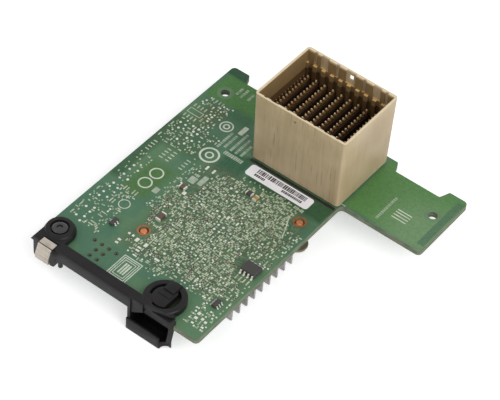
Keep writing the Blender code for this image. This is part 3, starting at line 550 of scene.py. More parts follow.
class Shape:
    """A mesh in card millimetres, gathered from closed solids that each carry one material.

    Each method that adds a solid returns the shape, so that solids can be added in one line.
    """

    def __init__(self) -> None:
        """Start with nothing."""
        self.bm = bmesh.new()

    def loft(self, layers: list[tuple[list[Point], float]], material: int = 0) -> "Shape":
        """Add a closed solid through outlines of equal length.

        Args:
            layers: Outlines, each with its height, from the lowest up.
            material: The number of the solid's material.

        Returns:
            The shape.
        """
        rings = [[self.bm.verts.new((x, y, z)) for x, y in outline] for outline, z in layers]
        faces = []
        for lower, upper in zip(rings, rings[1:]):
            for index in range(len(lower)):
                after = (index + 1) % len(lower)
                faces.append(self.bm.faces.new((lower[index], lower[after], upper[after], upper[index])))
        faces.append(self.bm.faces.new(list(reversed(rings[0]))))
        faces.append(self.bm.faces.new(rings[-1]))
        for face in faces:
            face.material_index = material
        return self

    def prism(self, outline: list[Point], low: float, high: float, material: int = 0, edge: float = 0.0) -> "Shape":
        """Add an upright solid, its upper edge eased inwards where that is asked.

        Args:
            outline: The solid's outline from above.
            low: Its lower height.
            high: Its upper height.
            material: The number of its material.
            edge: How far the upper edge is eased.

        Returns:
            The shape.
        """
        if edge <= 0.0:
            return self.loft([(outline, low), (outline, high)], material)
        middle = Vector((sum(x for x, _ in outline) / len(outline), sum(y for _, y in outline) / len(outline)))
        reach = max((Vector(point) - middle).length for point in outline)
        share = 1.0 - edge / reach
        inner = [tuple(middle + (Vector(point) - middle) * share) for point in outline]
        return self.loft([(outline, low), (outline, high - edge), (inner, high)], material)

    def ring(self, x: float, y: float, washer: Washer, low: float = 0.0) -> "Shape":
        """Add a flat washer.

        Args:
            x: The washer's middle across the card.
            y: Its middle along the card.
            washer: Its sizes.
            low: The height of its lower face.

        Returns:
            The shape.
        """
        big = round_outline(x, y, washer.outer, washer.sides)
        small = round_outline(x, y, washer.inner, washer.sides)
        rings = [[self.bm.verts.new((px, py, z)) for px, py in outline]
                 for outline, z in ((big, low), (big, washer.high), (small, washer.high), (small, low))]
        for first, second in zip(rings, rings[1:] + rings[:1]):
            for step in range(washer.sides):
                after = (step + 1) % washer.sides
                self.bm.faces.new((first[step], first[after], second[after], second[step]))
        return self

    def ribbon(self, points: list[Point], width: float, high: float, closed: bool = False) -> "Shape":
        """Add a flat strip that lies on the board's face along a path of corners.

        Args:
            points: The corners along the strip's middle.
            width: The strip's width.
            high: The height of its upper face.
            closed: Whether the last corner runs on to the first.

        Returns:
            The shape.
        """
        count = len(points)
        left, right = [], []
        for index, point in enumerate(points):
            here = Vector(point)
            before = Vector(points[index - 1]) if index > 0 or closed else here
            after = Vector(points[(index + 1) % count]) if index < count - 1 or closed else here
            first = (here - before).normalized() if before != here else (after - here).normalized()
            second = (after - here).normalized() if after != here else first
            bend = (first + second).normalized()
            side = Vector((-bend.y, bend.x)) * (width / 2) / max(0.35, bend.dot(first))
            left.append(here + side)
            right.append(here - side)
        spans = list(zip(range(count), list(range(1, count)) + [0]))
        for index, after in spans if closed else spans[:-1]:
            corners = (right[index], right[after], left[after], left[index])
            self.prism([tuple(corner) for corner in corners], 0.0, high)
        return self

    def laid(self, outline: list[Point], low: float, high: float, order: tuple[int, int, int],
             material: int = 0) -> "Shape":
        """Add a prism whose outline isn't drawn from above.

        Args:
            outline: The outline, in the two directions that it is drawn in.
            low: Where the prism starts, in the third direction.
            high: Where it ends.
            order: Which number of each corner, of the outline's two and the third, is its x, y and z.
            material: The number of its material.

        Returns:
            The shape.
        """
        before = set(self.bm.verts)
        self.loft([(outline, low), (outline, high)], material)
        for vert in set(self.bm.verts) - before:
            vert.co = [vert.co[index] for index in order]
        return self

    def profile(self, outline: list[Point], low: float, high: float, material: int = 0) -> "Shape":
        """Add a solid from a (y, z) outline drawn along x from low to high."""
        return self.laid(outline, low, high, (2, 0, 1), material)

    def plate(self, outline: list[Point], low: float, high: float) -> "Shape":
        """Add a solid from an (x, z) outline drawn along y from low to high."""
        return self.laid(outline, low, high, (0, 2, 1))

    def block(self, x0: float, y0: float, z0: float, x1: float, y1: float, z1: float) -> "Shape":
        """Add a plain block for carving."""
        return self.prism(box_outline(x0, y0, x1, y1), z0, z1)

    def lathe(self, x: float, y: float, rings: list[tuple[float, float]], sides: int) -> "Shape":
        """Add a solid turned about the vertical through a point, from (radius, height) rings."""
        return self.loft([(round_outline(x, y, radius, sides), z) for radius, z in rings])

    def moved(self, x: float, y: float, z: float, turn: Turn) -> "Shape":
        """Turn and shift everything made so far.

        Args:
            x: The shift across the card.
            y: The shift along it.
            z: The shift upwards.
            turn: The turn, made first.

        Returns:
            The shape.
        """
        matrix = Matrix.Translation((x, y, z)) @ Matrix.Rotation(math.radians(turn.value), 4, "Z")
        bmesh.ops.transform(self.bm, matrix=matrix, verts=self.bm.verts)
        return self

    def mesh(self, name: str, local: bool = False) -> bpy.types.Mesh:
        """Return the shape as a mesh in metres, at its place on the card unless it stays local.

        Args:
            name: The mesh's name.
            local: Whether it stays about its own middle, for copying.

        Returns:
            The mesh. The shape can't be used again.
        """
        bmesh.ops.recalc_face_normals(self.bm, faces=self.bm.faces)
        for vert in self.bm.verts:
            vert.co = vert.co * MM if local else CARD.place(*vert.co)
        mesh = bpy.data.meshes.new(name)
        self.bm.to_mesh(mesh)
        self.bm.free()
        return mesh


def soften(mesh: bpy.types.Mesh, angle: float) -> None:
    """Shade a mesh smooth, with the edges kept sharp where its faces turn by more than angle degrees."""
    mesh.shade_smooth()
    mesh.set_sharp_from_angle(angle=math.radians(angle))


def settle(piece: bpy.types.Object, materials: list[bpy.types.Material],
           replaces: tuple[str, ...] = ()) -> None:
    """Give a piece its materials, put it on the card's body and report it.

    Args:
        piece: The finished piece, in place.
        materials: Its materials in order.
        replaces: The card's nodes that it stands for.
    """
    slots = piece.data.materials
    for index, material in enumerate(materials):
        if index < len(slots):
            slots[index] = material
        else:
            slots.append(material)
    if replaces:
        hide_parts(*replaces)
    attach(piece, ROOT)
    log.info("%s: %d faces", piece.name, len(piece.data.polygons))


def add_piece(name: str, shape: Shape, materials: list[bpy.types.Material],
              replaces: tuple[str, ...] = ()) -> None:
    """Turn a shape into a piece of the card.

    Args:
        name: The piece's name.
        shape: Its shape.
        materials: Its materials in order.
        replaces: The card's nodes that it stands for.
    """
    piece = bpy.data.objects.new(name, shape.mesh(name))
    bpy.context.scene.collection.objects.link(piece)
    settle(piece, materials, replaces)


def dress(node: str, material: bpy.types.Material) -> None:
    """Give one of the card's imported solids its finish.

    Args:
        node: The solid's name.
        material: Its finish.
    """
    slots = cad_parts[node].data.materials
    slots.clear()
    slots.append(material)
    log.info("%s dressed", node)


@dataclass(frozen=True)
class Spot:
    """One place in a layout: where a copy goes, its turn in degrees and its stretch."""

    x: float
    y: float
    turn: float = 0.0
    stretch: float = 1.0

    @classmethod
    def lying(cls, x: float, y: float, turn: Turn, stretch: float) -> "Spot":
        """Return the place of a part that is drawn along the card."""
        return cls(x, y, 0.0 if turn is Turn.ALONG else 90.0, stretch)


class Copier(Wiring):
    """A Geometry Nodes tree that puts a copy of one part at each point of a layout."""

    INPUTS = (("Layout", "Geometry", None), ("Part", "Object", None), ("Turn Spread", "Float", 2.0),
              ("Size Spread", "Float", 0.06), ("Seed", "Int", 1), ("Finish", "Material", None))
    SIZE_SEED = 7

    def __init__(self) -> None:
        """Build the tree once."""
        super().__init__(bpy.data.node_groups.new("copies_on_points", "GeometryNodeTree"))
        face = self.tree.interface
        for name, kind, value in self.INPUTS:
            socket = face.new_socket(name, in_out="INPUT", socket_type="NodeSocket" + kind)
            if value is not None:
                socket.default_value = value
        face.new_socket("Copies", in_out="OUTPUT", socket_type="NodeSocketGeometry")
        self.sockets = {item.name: item.identifier for item in face.items_tree if item.in_out == "INPUT"}
        given = self.node("NodeGroupInput").outputs
        seed, turns, sizes = given["Seed"], given["Turn Spread"], given["Size Spread"]
        wobble = self.chance(seed, self.sum("MULTIPLY", turns, -1.0), turns, 0)
        angle = self.sum("RADIANS", self.sum("ADD", self.attribute("turn"), wobble))
        size = self.chance(seed, self.sum("SUBTRACT", 1.0, sizes), self.sum("ADD", 1.0, sizes), self.SIZE_SEED)
        length = self.sum("MULTIPLY", size, self.attribute("stretch"))
        copies = self.step("GeometryNodeInstanceOnPoints", Points=given["Layout"],
                           Instance=self.step("GeometryNodeObjectInfo", "Geometry", Object=given["Part"]),
                           Rotation=self.step("ShaderNodeCombineXYZ", Z=angle),
                           Scale=self.step("ShaderNodeCombineXYZ", X=size, Y=length, Z=1.0))
        real = self.step("GeometryNodeRealizeInstances", Geometry=copies)
        coat = self.step("GeometryNodeSetMaterial", Geometry=real, Material=given["Finish"])
        self.feed(self.node("NodeGroupOutput").inputs[0], coat)

    def attribute(self, name: str) -> bpy.types.NodeSocket:
        """Return the output that reads a number stored at each point.

        Args:
            name: The name that the number is stored under.

        Returns:
            The output.
        """
        reader = self.node("GeometryNodeInputNamedAttribute", data_type="FLOAT")
        reader.inputs["Name"].default_value = name
        return reader.outputs["Attribute"]

    def chance(self, seed: bpy.types.NodeSocket, low: bpy.types.NodeSocket, high: bpy.types.NodeSocket,
               shift: int) -> bpy.types.NodeSocket:
        """Return a random number for each point.

        Args:
            seed: The tree's seed.
            low: The lowest number.
            high: The highest number.
            shift: What is added to the seed, so that two draws differ.

        Returns:
            The number.
        """
        dice = self.node("FunctionNodeRandomValue", data_type="FLOAT")
        self.feed(dice.inputs[2], low)
        self.feed(dice.inputs[3], high)
        self.feed(dice.inputs["Seed"], self.sum("ADD", seed, shift))
        return dice.outputs[1]

    def lay(self, name: str, spots: list[Spot], part: Shape, finish: bpy.types.Material, slot: str | None,
            height: float = 0.0, turn_spread: float = 2.0, size_spread: float = 0.06, seed: int = 1,
            smooth: float = 0.0) -> None:
        """Make one piece, a plain mesh with no modifier left, from copies of a part.

        Args:
            name: The piece's name.
            spots: Where the copies go.
            part: The part, in millimetres about its own middle.
            finish: The copies' material.
            slot: The record's material slot; not used.
            height: How far above the board's face the part's zero lies, in millimetres.
            turn_spread: The most that a copy may be turned from its place, in degrees.
            size_spread: The share by which a copy's size may differ.
            seed: The seed of both.
            smooth: Shade smooth below this angle, in degrees, where it isn't zero.
        """
        model = bpy.data.objects.new(name + "_part", part.mesh(name + "_part", local=True))
        layout = bpy.data.meshes.new(name)
        layout.from_pydata([CARD.place(spot.x, spot.y, height) for spot in spots], [], [])
        for key in ("turn", "stretch"):
            values = layout.attributes.new(key, "FLOAT", "POINT")
            values.data.foreach_set("value", [getattr(spot, key) for spot in spots])
        piece = bpy.data.objects.new(name, layout)
        bpy.context.scene.collection.objects.link(piece)
        modifier = piece.modifiers.new("copies", "NODES")
        modifier.node_group = self.tree
        for key, value in (("Part", model), ("Turn Spread", turn_spread), ("Size Spread", size_spread),
                           ("Seed", seed), ("Finish", finish)):
            modifier[self.sockets[key]] = value
        bpy.context.view_layer.update()
        graph = bpy.context.evaluated_depsgraph_get()
        made = bpy.data.meshes.new_from_object(piece.evaluated_get(graph))
        piece.modifiers.clear()
        piece.data = made
        bpy.data.meshes.remove(layout)
        made.name = name
        made.materials.clear()
        bpy.data.objects.remove(model)
        if smooth > 0.0:
            soften(made, smooth)
        settle(piece, [finish])


class Surface:
    """Which places on one face of the board are taken, on a fine grid."""

    STEP = 0.1

    def __init__(self, width: float, length: float) -> None:
        """Start with a free board of the given size in millimetres.

        Args:
            width: The board's size across.
            length: The board's size along.
        """
        self.columns = int(width / self.STEP) + 1
        self.rows = int(length / self.STEP) + 1
        self.taken = bytearray(self.columns * self.rows)

    def span(self, x0: float, y0: float, x1: float, y1: float) -> tuple[int, int, int, int]:
        """Return a rectangle's first and last column and row."""
        return (max(0, int(x0 / self.STEP)), max(0, int(y0 / self.STEP)),
                min(self.columns - 1, int(x1 / self.STEP)), min(self.rows - 1, int(y1 / self.STEP)))

    def take(self, x0: float, y0: float, x1: float, y1: float) -> None:
        """Mark a rectangle as taken.

        Args:
            x0: The left side.
            y0: The near side.
            x1: The right side.
            y1: The far side.
        """
        c0, r0, c1, r1 = self.span(x0, y0, x1, y1)
        for row in range(r0, r1 + 1):
            start = row * self.columns
            self.taken[start + c0:start + c1 + 1] = b"\x01" * max(0, c1 + 1 - c0)

    def free(self, x0: float, y0: float, x1: float, y1: float) -> bool:
        """Say whether a rectangle is free."""
        c0, r0, c1, r1 = self.span(x0, y0, x1, y1)
        return not any(any(self.taken[row * self.columns + c0:row * self.columns + c1 + 1])
                       for row in range(r0, r1 + 1))

    def claim(self, x: float, y: float, wide: float, long: float, margin: float = 0.0, force: bool = False) -> bool:
        """Take a rectangle about a point, if it is free or that doesn't matter.

        Args:
            x: The rectangle's middle across the card.
            y: Its middle along the card.
            wide: Its size across.
            long: Its size along.
            margin: What it takes up beyond that on each side.
            force: Whether it is taken even if it isn't free.

        Returns:
            Whether it was taken.
        """
        corners = (x - wide / 2 - margin, y - long / 2 - margin, x + wide / 2 + margin, y + long / 2 + margin)
        if not force and not self.free(*corners):
            return False
        self.take(*corners)
        return True


class Kind(Enum):
    """The small things that the board is covered with, each with its footprint in millimetres."""

    DASH = (0.46, 1.22)
    SHORT_DASH = (0.46, 0.72)
    CAPACITOR = (0.60, 1.28)
    RESISTOR = (0.60, 1.28)
    VIA = (0.44, 0.44)
    DOT = (0.58, 0.58)
    TEST_POINT = (1.10, 1.10)


@dataclass(frozen=True)
class Field:
    """A stretch of board strewn with small things, in groups that lie the same way."""

    x0: float
    y0: float
    x1: float
    y1: float
    share: tuple[tuple[Kind, float], ...]
    tries: float
    along: float
    seed: int

    STEP = 0.56
    GROUP = (3.1, 2.6)
    AGAINST = 0.12
    SLIP = 0.04
    STRETCH = (0.85, 1.05)

    def spots(self) -> list[tuple[Kind, float, float, Turn, float]]:
        """Return what is tried where.

        Things keep to a grid of one step, but for a little jitter. All in a group lie the same way,
        but for the share that lies against it.

        Returns:
            For each thing its kind, its place, its turn and its stretch.
        """
        dice = random.Random(self.seed)
        kinds = [kind for kind, _ in self.share]
        weights = [weight for _, weight in self.share]
        groups: dict[tuple[int, int], bool] = {}
        tried = []
        for _ in range(int((self.x1 - self.x0) * (self.y1 - self.y0) * self.tries)):
            x = round(dice.uniform(self.x0, self.x1) / self.STEP) * self.STEP
            y = round(dice.uniform(self.y0, self.y1) / self.STEP) * self.STEP
            group = (int(x / self.GROUP[0]), int(y / self.GROUP[1]))
            along = groups.setdefault(group, dice.random() < self.along)
            if dice.random() < self.AGAINST:
                along = not along
            kind = dice.choices(kinds, weights)[0]
            tried.append((kind, x + dice.uniform(-self.SLIP, self.SLIP), y + dice.uniform(-self.SLIP, self.SLIP),
                          Turn.ALONG if along else Turn.ACROSS, dice.uniform(*self.STRETCH)))
        return tried


DENSE = ((Kind.DASH, 0.42), (Kind.SHORT_DASH, 0.18), (Kind.CAPACITOR, 0.12), (Kind.RESISTOR, 0.10),
         (Kind.VIA, 0.08), (Kind.DOT, 0.10))
UPRIGHT = ((Kind.DASH, 0.62), (Kind.SHORT_DASH, 0.2), (Kind.VIA, 0.10), (Kind.RESISTOR, 0.08))
SPARSE = ((Kind.VIA, 0.44), (Kind.SHORT_DASH, 0.28), (Kind.DASH, 0.18), (Kind.DOT, 0.10))
DOTTED = ((Kind.VIA, 0.35), (Kind.DOT, 0.40), (Kind.SHORT_DASH, 0.25))

FIELDS = (
    Field(26.0, 27.0, 47.0, 47.0, DENSE, 9.0, 0.52, 11),
    Field(20.0, 15.0, 50.0, 27.0, DENSE, 8.0, 0.50, 12),
    Field(18.5, 27.0, 26.0, 38.5, DENSE, 6.0, 0.45, 13),
    Field(40.0, 43.0, 50.5, 55.5, UPRIGHT, 8.0, 1.0, 14),
    Field(47.0, 31.5, 56.2, 46.5, DENSE, 2.2, 0.6, 15),
    Field(26.0, 47.0, 40.0, 52.5, UPRIGHT, 3.6, 0.8, 16),
    Field(40.5, 6.0, 51.0, 16.0, DOTTED, 2.2, 0.5, 17),
    Field(46.5, 16.0, 56.0, 24.0, DENSE, 2.6, 0.5, 18),
    Field(22.8, 10.8, 39.0, 15.4, DENSE, 2.4, 0.5, 19),
    Field(50.0, 3.2, 56.2, 16.8, DOTTED, 3.0, 0.5, 20),
    Field(1.0, 50.2, 16.0, 62.0, SPARSE, 1.1, 0.5, 21),
    Field(2.0, 62.2, 11.5, 73.5, DOTTED, 1.7, 0.7, 22),
    Field(15.5, 28.0, 20.5, 50.0, SPARSE, 1.5, 0.4, 23),
    Field(23.5, 38.5, 27.0, 50.0, DENSE, 3.0, 0.4, 24),
    Field(6.8, 12.0, 12.2, 30.0, SPARSE, 1.5, 0.5, 25),
    Field(30.0, 52.5, 40.0, 55.6, SPARSE, 1.4, 0.6, 26),
    Field(24.0, 8.0, 36.0, 11.0, SPARSE, 0.3, 0.5, 27),
    Field(1.5, 12.0, 7.0, 44.0, SPARSE, 0.7, 0.5, 28),
)


def pad(length: float, low: float, high: float, edge: float = 0.0) -> Shape:
    """Return a narrow solder pad with clipped corners, drawn along the card."""
    return Shape().prism(box_outline(-0.2, -length / 2, 0.2, length / 2, 0.08, 1), low, high, edge=edge)


def chip_body(low: float, high: float, edge: float = 0.0) -> Shape:
    """Return the square body between a small chip's ends."""
    return Shape().prism(box_outline(-0.25, -0.25, 0.25, 0.25), low, high, edge=edge)


@dataclass(frozen=True)
class EndBlock:
    """A block of solder or plating at both ends of a small chip, measured from the chip's middle."""

    half: float
    near: float
    far: float
    low: float
    high: float
    edge: float = 0.0


def chip_ends(*blocks: EndBlock) -> Shape:
    """Return a small chip's two ends, each of the same blocks.

    Args:
        blocks: The blocks of one end.

    Returns:
        Both ends, drawn along the card.
    """
    shape = Shape()
    for sign in (-1, 1):
        for block in blocks:
            low, high = sorted((sign * block.near, sign * block.far))
            shape.prism(box_outline(-block.half, low, block.half, high), block.low, block.high, edge=block.edge)
    return shape


@dataclass
class BoardTop:
    """Everything soldered, plated or printed on the board's upper face."""

    copier: Copier
    width: float = 57.0
    length: float = 88.0
    ink_top: float = 0.03
    pad_top: float = 0.05
    large_pad_top: float = 0.09
    large_pad_margin: float = 0.1
    first_hole: Point = (13.70, 9.36)
    hole_pitch: float = 2.54
    test_ring: Washer = Washer(outer=0.66, inner=0.47, high=0.025, sides=20)
    pin_ring: Washer = Washer(outer=1.95, inner=1.46, high=0.04, sides=32)
    fixing_ring: Washer = Washer(outer=2.5, inner=1.37, high=0.02, sides=32)

    HOLE_ROWS = ((0, 1, 2, 3), (1, 2), (1, 2))
    PIN_HOLES = ((21.5, 20.8), (52.05, 51.35))
    FIXING_HOLES = ((5.0, 77.6), (78.8, 77.6))

    TEST_POINTS = (
        (3.69, 31.6), (3.69, 29.0), (5.85, 28.15), (3.69, 27.3), (3.69, 24.7), (5.85, 23.7), (3.69, 22.8),
        (5.85, 18.3), (3.69, 17.3), (5.85, 16.35), (5.85, 14.1), (3.69, 13.15), (5.85, 12.1),
        (3.65, 37.9), (3.65, 36.0), (5.85, 36.9), (3.65, 33.5), (5.85, 32.5),
        (6.5, 60.9), (8.5, 60.8), (2.7, 59.8), (4.5, 59.8), (7.9, 59.2), (9.4, 59.1), (3.65, 57.65),
        (8.1, 56.0), (9.9, 56.0), (8.9, 53.8), (6.2, 53.9), (29.9, 48.85), (31.9, 48.85),
        (35.8, 35.8), (37.5, 35.8), (35.8, 33.8), (37.5, 33.8), (32.3, 39.6), (34.0, 38.4), (31.2, 17.9),
        (8.3, 67.2), (8.3, 65.1), (8.6, 60.9),
    )
    BIG_PADS = (
        (22.4, 16.9, 1.0, 1.4), (25.5, 16.9, 1.0, 1.4), (36.5, 17.15, 1.0, 0.7), (31.1, 14.8, 1.7, 0.7),
        (19.9, 50.6, 0.65, 1.6), (22.3, 50.6, 0.65, 1.6), (36.2, 39.5, 0.7, 1.4), (39.6, 39.3, 0.5, 1.3),
        (51.7, 7.6, 0.9, 1.0), (51.9, 5.9, 1.0, 0.9), (53.6, 6.6, 0.8, 0.9), (54.9, 6.2, 0.8, 0.8),
        (55.3, 4.3, 0.8, 0.6), (52.2, 4.0, 0.8, 0.6), (21.1, 38.8, 1.1, 1.2), (18.6, 13.9, 1.0, 0.7),
        (18.7, 12.6, 1.0, 0.7), (19.2, 17.4, 0.7, 0.7), (20.6, 17.4, 0.7, 0.7), (24.7, 15.1, 1.3, 0.6),
        (24.9, 14.0, 1.3, 0.6), (25.5, 12.1, 1.4, 0.5),
    )

    def __post_init__(self) -> None:
        """Start with a free face and mix the finishes that several pieces share."""
        self.face = Surface(self.width, self.length)
        self.spots: dict[Kind, list[Spot]] = {kind: [] for kind in Kind}
        self.solder = Grained("tinned_solder", shade(244, 243, 232), shade(206, 206, 192), cloud=0.0012,
                              roughness=0.38, metallic=0.25).make()
        self.ink = Grained("printing_ink", shade(226, 232, 216), shade(186, 196, 178), cloud=0.0016, grain=0.00015,
                           roughness=0.7).make()
        self.faint_ink = Grained("faint_ink", shade(188, 200, 180), shade(140, 160, 138), cloud=0.0012, grain=0.0002,
                                 roughness=0.7).make()
        self.lacquered_pad = Grained("lacquered_pad", shade(222, 226, 200), shade(132, 150, 120), cloud=0.0016,
                                     grain=0.00012, roughness=0.45).make()
        self.copper = Grained("bare_copper", shade(186, 118, 72), shade(124, 74, 44), cloud=0.0011, roughness=0.4,
                              metallic=0.45).make()
        # The test holes' rings are brown, darkened with painted shade that stands in for each hole's dark bore.
        self.brown_ring_and_shade = Grained("flux_stained_ring", shade(84, 60, 44), shade(44, 38, 28), cloud=0.0009,
                                  roughness=0.6).make()

    def keep_clear(self) -> None:
        """Take the places of the pieces that the solids or other classes put on the face."""
        for x0, y0, x1, y1 in (
            (0.0, 0.0, 10.2, 10.2), (0.0, 0.0, 57.0, 2.2), (35.4, 0.0, 49.0, 11.6), (12.3, 3.2, 22.6, 10.6),
            (23.2, 2.4, 30.0, 11.0), (19.2, 18.4, 23.9, 23.2), (49.8, 49.0, 54.5, 53.7), (12.2, 15.4, 16.6, 19.8),
            (49.6, 24.0, 56.4, 31.2), (51.6, 10.8, 55.6, 15.2), (28.2, 55.6, 51.2, 61.2), (26.0, 61.0, 57.0, 88.0),
            (14.0, 51.6, 20.4, 58.4), (11.2, 64.6, 16.4, 69.6), (6.4, 30.0, 14.2, 43.4), (2.4, 74.6, 8.0, 80.6),
            (17.2, 66.2, 20.0, 71.2), (16.0, 58.6, 26.2, 66.4), (18.4, 42.8, 21.0, 45.8), (21.2, 43.4, 23.2, 48.0),
            (13.4, 33.2, 15.6, 35.8), (20.8, 25.2, 23.6, 29.8), (18.6, 38.6, 21.9, 41.4), (33.6, 49.2, 38.4, 51.6),
            (0.8, 44.4, 15.6, 50.2), (1.0, 62.0, 6.2, 69.2), (6.8, 78.6, 12.8, 83.6), (10.0, 23.0, 12.8, 26.6),
            (40.6, 47.6, 41.0, 48.0),
        ):
            self.face.take(x0, y0, x1, y1)

    def put(self, kind: Kind, x: float, y: float, turn: Turn, stretch: float = 1.0, force: bool = False) -> None:
        """Place one small thing, if its footprint is free or that doesn't matter.

        Args:
            kind: What it is.
            x: Its place across the card.
            y: Its place along it.
            turn: The way it lies.
            stretch: Its length as a share of the usual.
            force: Whether it goes in even where something lies.
        """
        wide, long = kind.value
        long = long * stretch
        if turn is Turn.ACROSS:
            wide, long = long, wide
        if self.face.claim(x, y, wide, long, force=force):
            self.spots[kind].append(Spot.lying(x, y, turn, stretch))

    def footprints(self) -> None:
        """Place the pads of the chips that the board has room for but doesn't carry."""
        for x0, x1 in ((2.2, 7.2), (9.4, 14.3)):
            for row in range(4):
                for x in (x0, x1):
                    self.put(Kind.DASH, x, 49.2 - 1.28 * row, Turn.ACROSS, 1.15, True)
        for x in (1.5, 2.75, 4.0, 5.25):
            self.put(Kind.DASH, x, 68.0, Turn.ALONG, 1.2, True)
            self.put(Kind.DASH, x, 63.1, Turn.ALONG, 1.2, True)
        for x in (4.0, 5.3, 6.5, 7.6):
            self.put(Kind.DASH, x, 73.2, Turn.ALONG, 1.1, True)
        for y in (18.6, 17.15, 14.1, 13.1):
            self.put(Kind.DASH, 8.9, y, Turn.ACROSS, 1.4, True)
        for x, y in ((7.3, 29.8), (8.2, 29.8), (10.2, 29.9), (11.2, 29.9), (7.3, 23.7), (8.2, 23.7), (7.4, 60.4)):
            self.put(Kind.DASH, x, y, Turn.ALONG, 1.5, True)
        for x, y in ((1.6, 24.9), (1.9, 17.3), (1.9, 13.5), (1.1, 58.0), (1.1, 52.4)):
            self.put(Kind.DASH, x, y, Turn.ALONG, 1.3, True)
        for index in range(4):
            self.put(Kind.DASH, 51.1 + 1.27 * index, 24.3, Turn.ALONG, 1.5, True)

    def fill(self) -> None:
        """Strew the fields, each from its own seed."""
        for stretch_of_board in FIELDS:
            for kind, x, y, turn, stretch in stretch_of_board.spots():
                self.put(kind, x, y, turn, stretch)

    def copies(self) -> None:
        """Turn the layout into pieces."""
        lay, spots = self.copier.lay, self.spots
        lay("pad_dashes", spots[Kind.DASH], pad(1.16, 0.0, self.pad_top, 0.02), self.lacquered_pad,
            "contact_plating", seed=3)
        lay("pad_dashes_short", spots[Kind.SHORT_DASH], pad(0.66, 0.0, self.pad_top, 0.02), self.lacquered_pad,
            "contact_plating", seed=4)
        ends = chip_ends(EndBlock(half=0.26, near=0.24, far=0.52, low=0.0, high=0.38, edge=0.05),
                         EndBlock(half=0.28, near=0.44, far=0.64, low=0.0, high=0.08, edge=0.03))
        lay("chip_ends", spots[Kind.CAPACITOR] + spots[Kind.RESISTOR], ends, self.solder, "spring_steel",
            size_spread=0.0, turn_spread=1.5, seed=5)
        tan = Grained("ceramic_tan", shade(146, 136, 104), shade(104, 98, 74), cloud=0.001, roughness=0.55).make()
        lay("capacitor_bodies", spots[Kind.CAPACITOR], chip_body(0.0, 0.36, 0.03), tan, "dark_insulator",
            size_spread=0.0, turn_spread=1.5, seed=5)
        dark = Grained("resistor_glaze", shade(56, 62, 52), shade(36, 42, 34), cloud=0.001, roughness=0.4).make()
        lay("resistor_bodies", spots[Kind.RESISTOR], chip_body(0.0, 0.33, 0.03), dark, "chip_epoxy",
            size_spread=0.0, turn_spread=1.5, seed=5)
        via = Shape().ring(0.0, 0.0, Washer(outer=0.24, inner=0.08, high=0.035, sides=10))
        lay("via_rings", spots[Kind.VIA], via, self.lacquered_pad, "contact_plating", seed=6)
        dot = Shape().prism(round_outline(0.0, 0.0, 0.31, 10), 0.0, self.pad_top, edge=0.02)
        lay("solder_dots", spots[Kind.DOT], dot, self.solder, "spring_steel", seed=7, smooth=40.0)
        test = Shape().lathe(0.0, 0.0, [(0.39, 0.0), (0.38, 0.05), (0.26, 0.10), (0.1, 0.12)], 14)
        lay("test_points", spots[Kind.TEST_POINT], test, self.solder, "spring_steel", size_spread=0.08,
            seed=8, smooth=50.0)

    def plated_rings(self) -> None:
        """Make the rings round the test holes, the fixing holes and the heat sink's pins."""
        tests, pins, fixings = Shape(), Shape(), Shape()
        for row, columns in enumerate(self.HOLE_ROWS):
            for column in columns:
                tests.ring(self.first_hole[0] + column * self.hole_pitch, self.first_hole[1] - row * self.hole_pitch,
                           self.test_ring)
        add_piece("test_hole_rings", tests, [self.brown_ring_and_shade])
        for place in self.PIN_HOLES:
            pins.ring(*place, self.pin_ring)
        add_piece("pin_hole_rings", pins, [self.copper])
        for place in self.FIXING_HOLES:
            fixings.ring(*place, self.fixing_ring)
        halo = Grained("clear_ring", shade(104, 138, 98), shade(88, 122, 84), grain=0.0002, roughness=0.45).make()
        add_piece("fixing_hole_rings", fixings, [halo])

    def outlines(self) -> None:
        """Print the plain rings, frames and strokes in bold ink."""
        bold = Shape()
        top = self.ink_top
        for x, y, outer, inner, sides in (
            (17.2, 54.95, 3.05, 2.45, 40), (17.2, 54.95, 1.35, 0.85, 28), (13.85, 67.0, 2.15, 1.7, 32),
            (13.85, 67.0, 1.1, 0.6, 24), (10.5, 39.6, 2.15, 1.7, 32), (10.3, 34.8, 2.15, 1.7, 32),
            (11.2, 24.75, 1.75, 1.5, 28),
        ):
            bold.ring(x, y, Washer(outer, inner, top, sides))
        for inset, width in ((0.0, 0.3), (0.6, 0.26), (1.25, 0.22)):
            bold.ribbon(box_outline(23.5 + inset, 2.4 + inset, 29.6 - inset, 10.6 - inset), width, top, closed=True)
        for index in range(3):
            bold.prism(box_outline(25.6 + index * 0.8, 4.5, 26.1 + index * 0.8, 8.6), 0.0, top)
        bold.prism(box_outline(17.9, 66.9, 19.4, 70.6, 0.3, 2), 0.0, top)
        bold.ribbon([(1.2, 66.5), (1.2, 64.6), (5.8, 64.6), (5.8, 66.5), (1.2, 66.5)], 0.16, top)
        bold.ribbon([(48.8, 51.0), (52.1, 43.2)], 0.24, top)
        bold.ribbon([(56.2, 64.4), (58.2, 64.4)], 0.24, top)
        for y in (70.0, 71.1, 72.2, 73.2):
            bold.ribbon([(70.0, y), (74.8, y)], 0.34, top)
        add_piece("printed_outlines", bold, [self.ink])

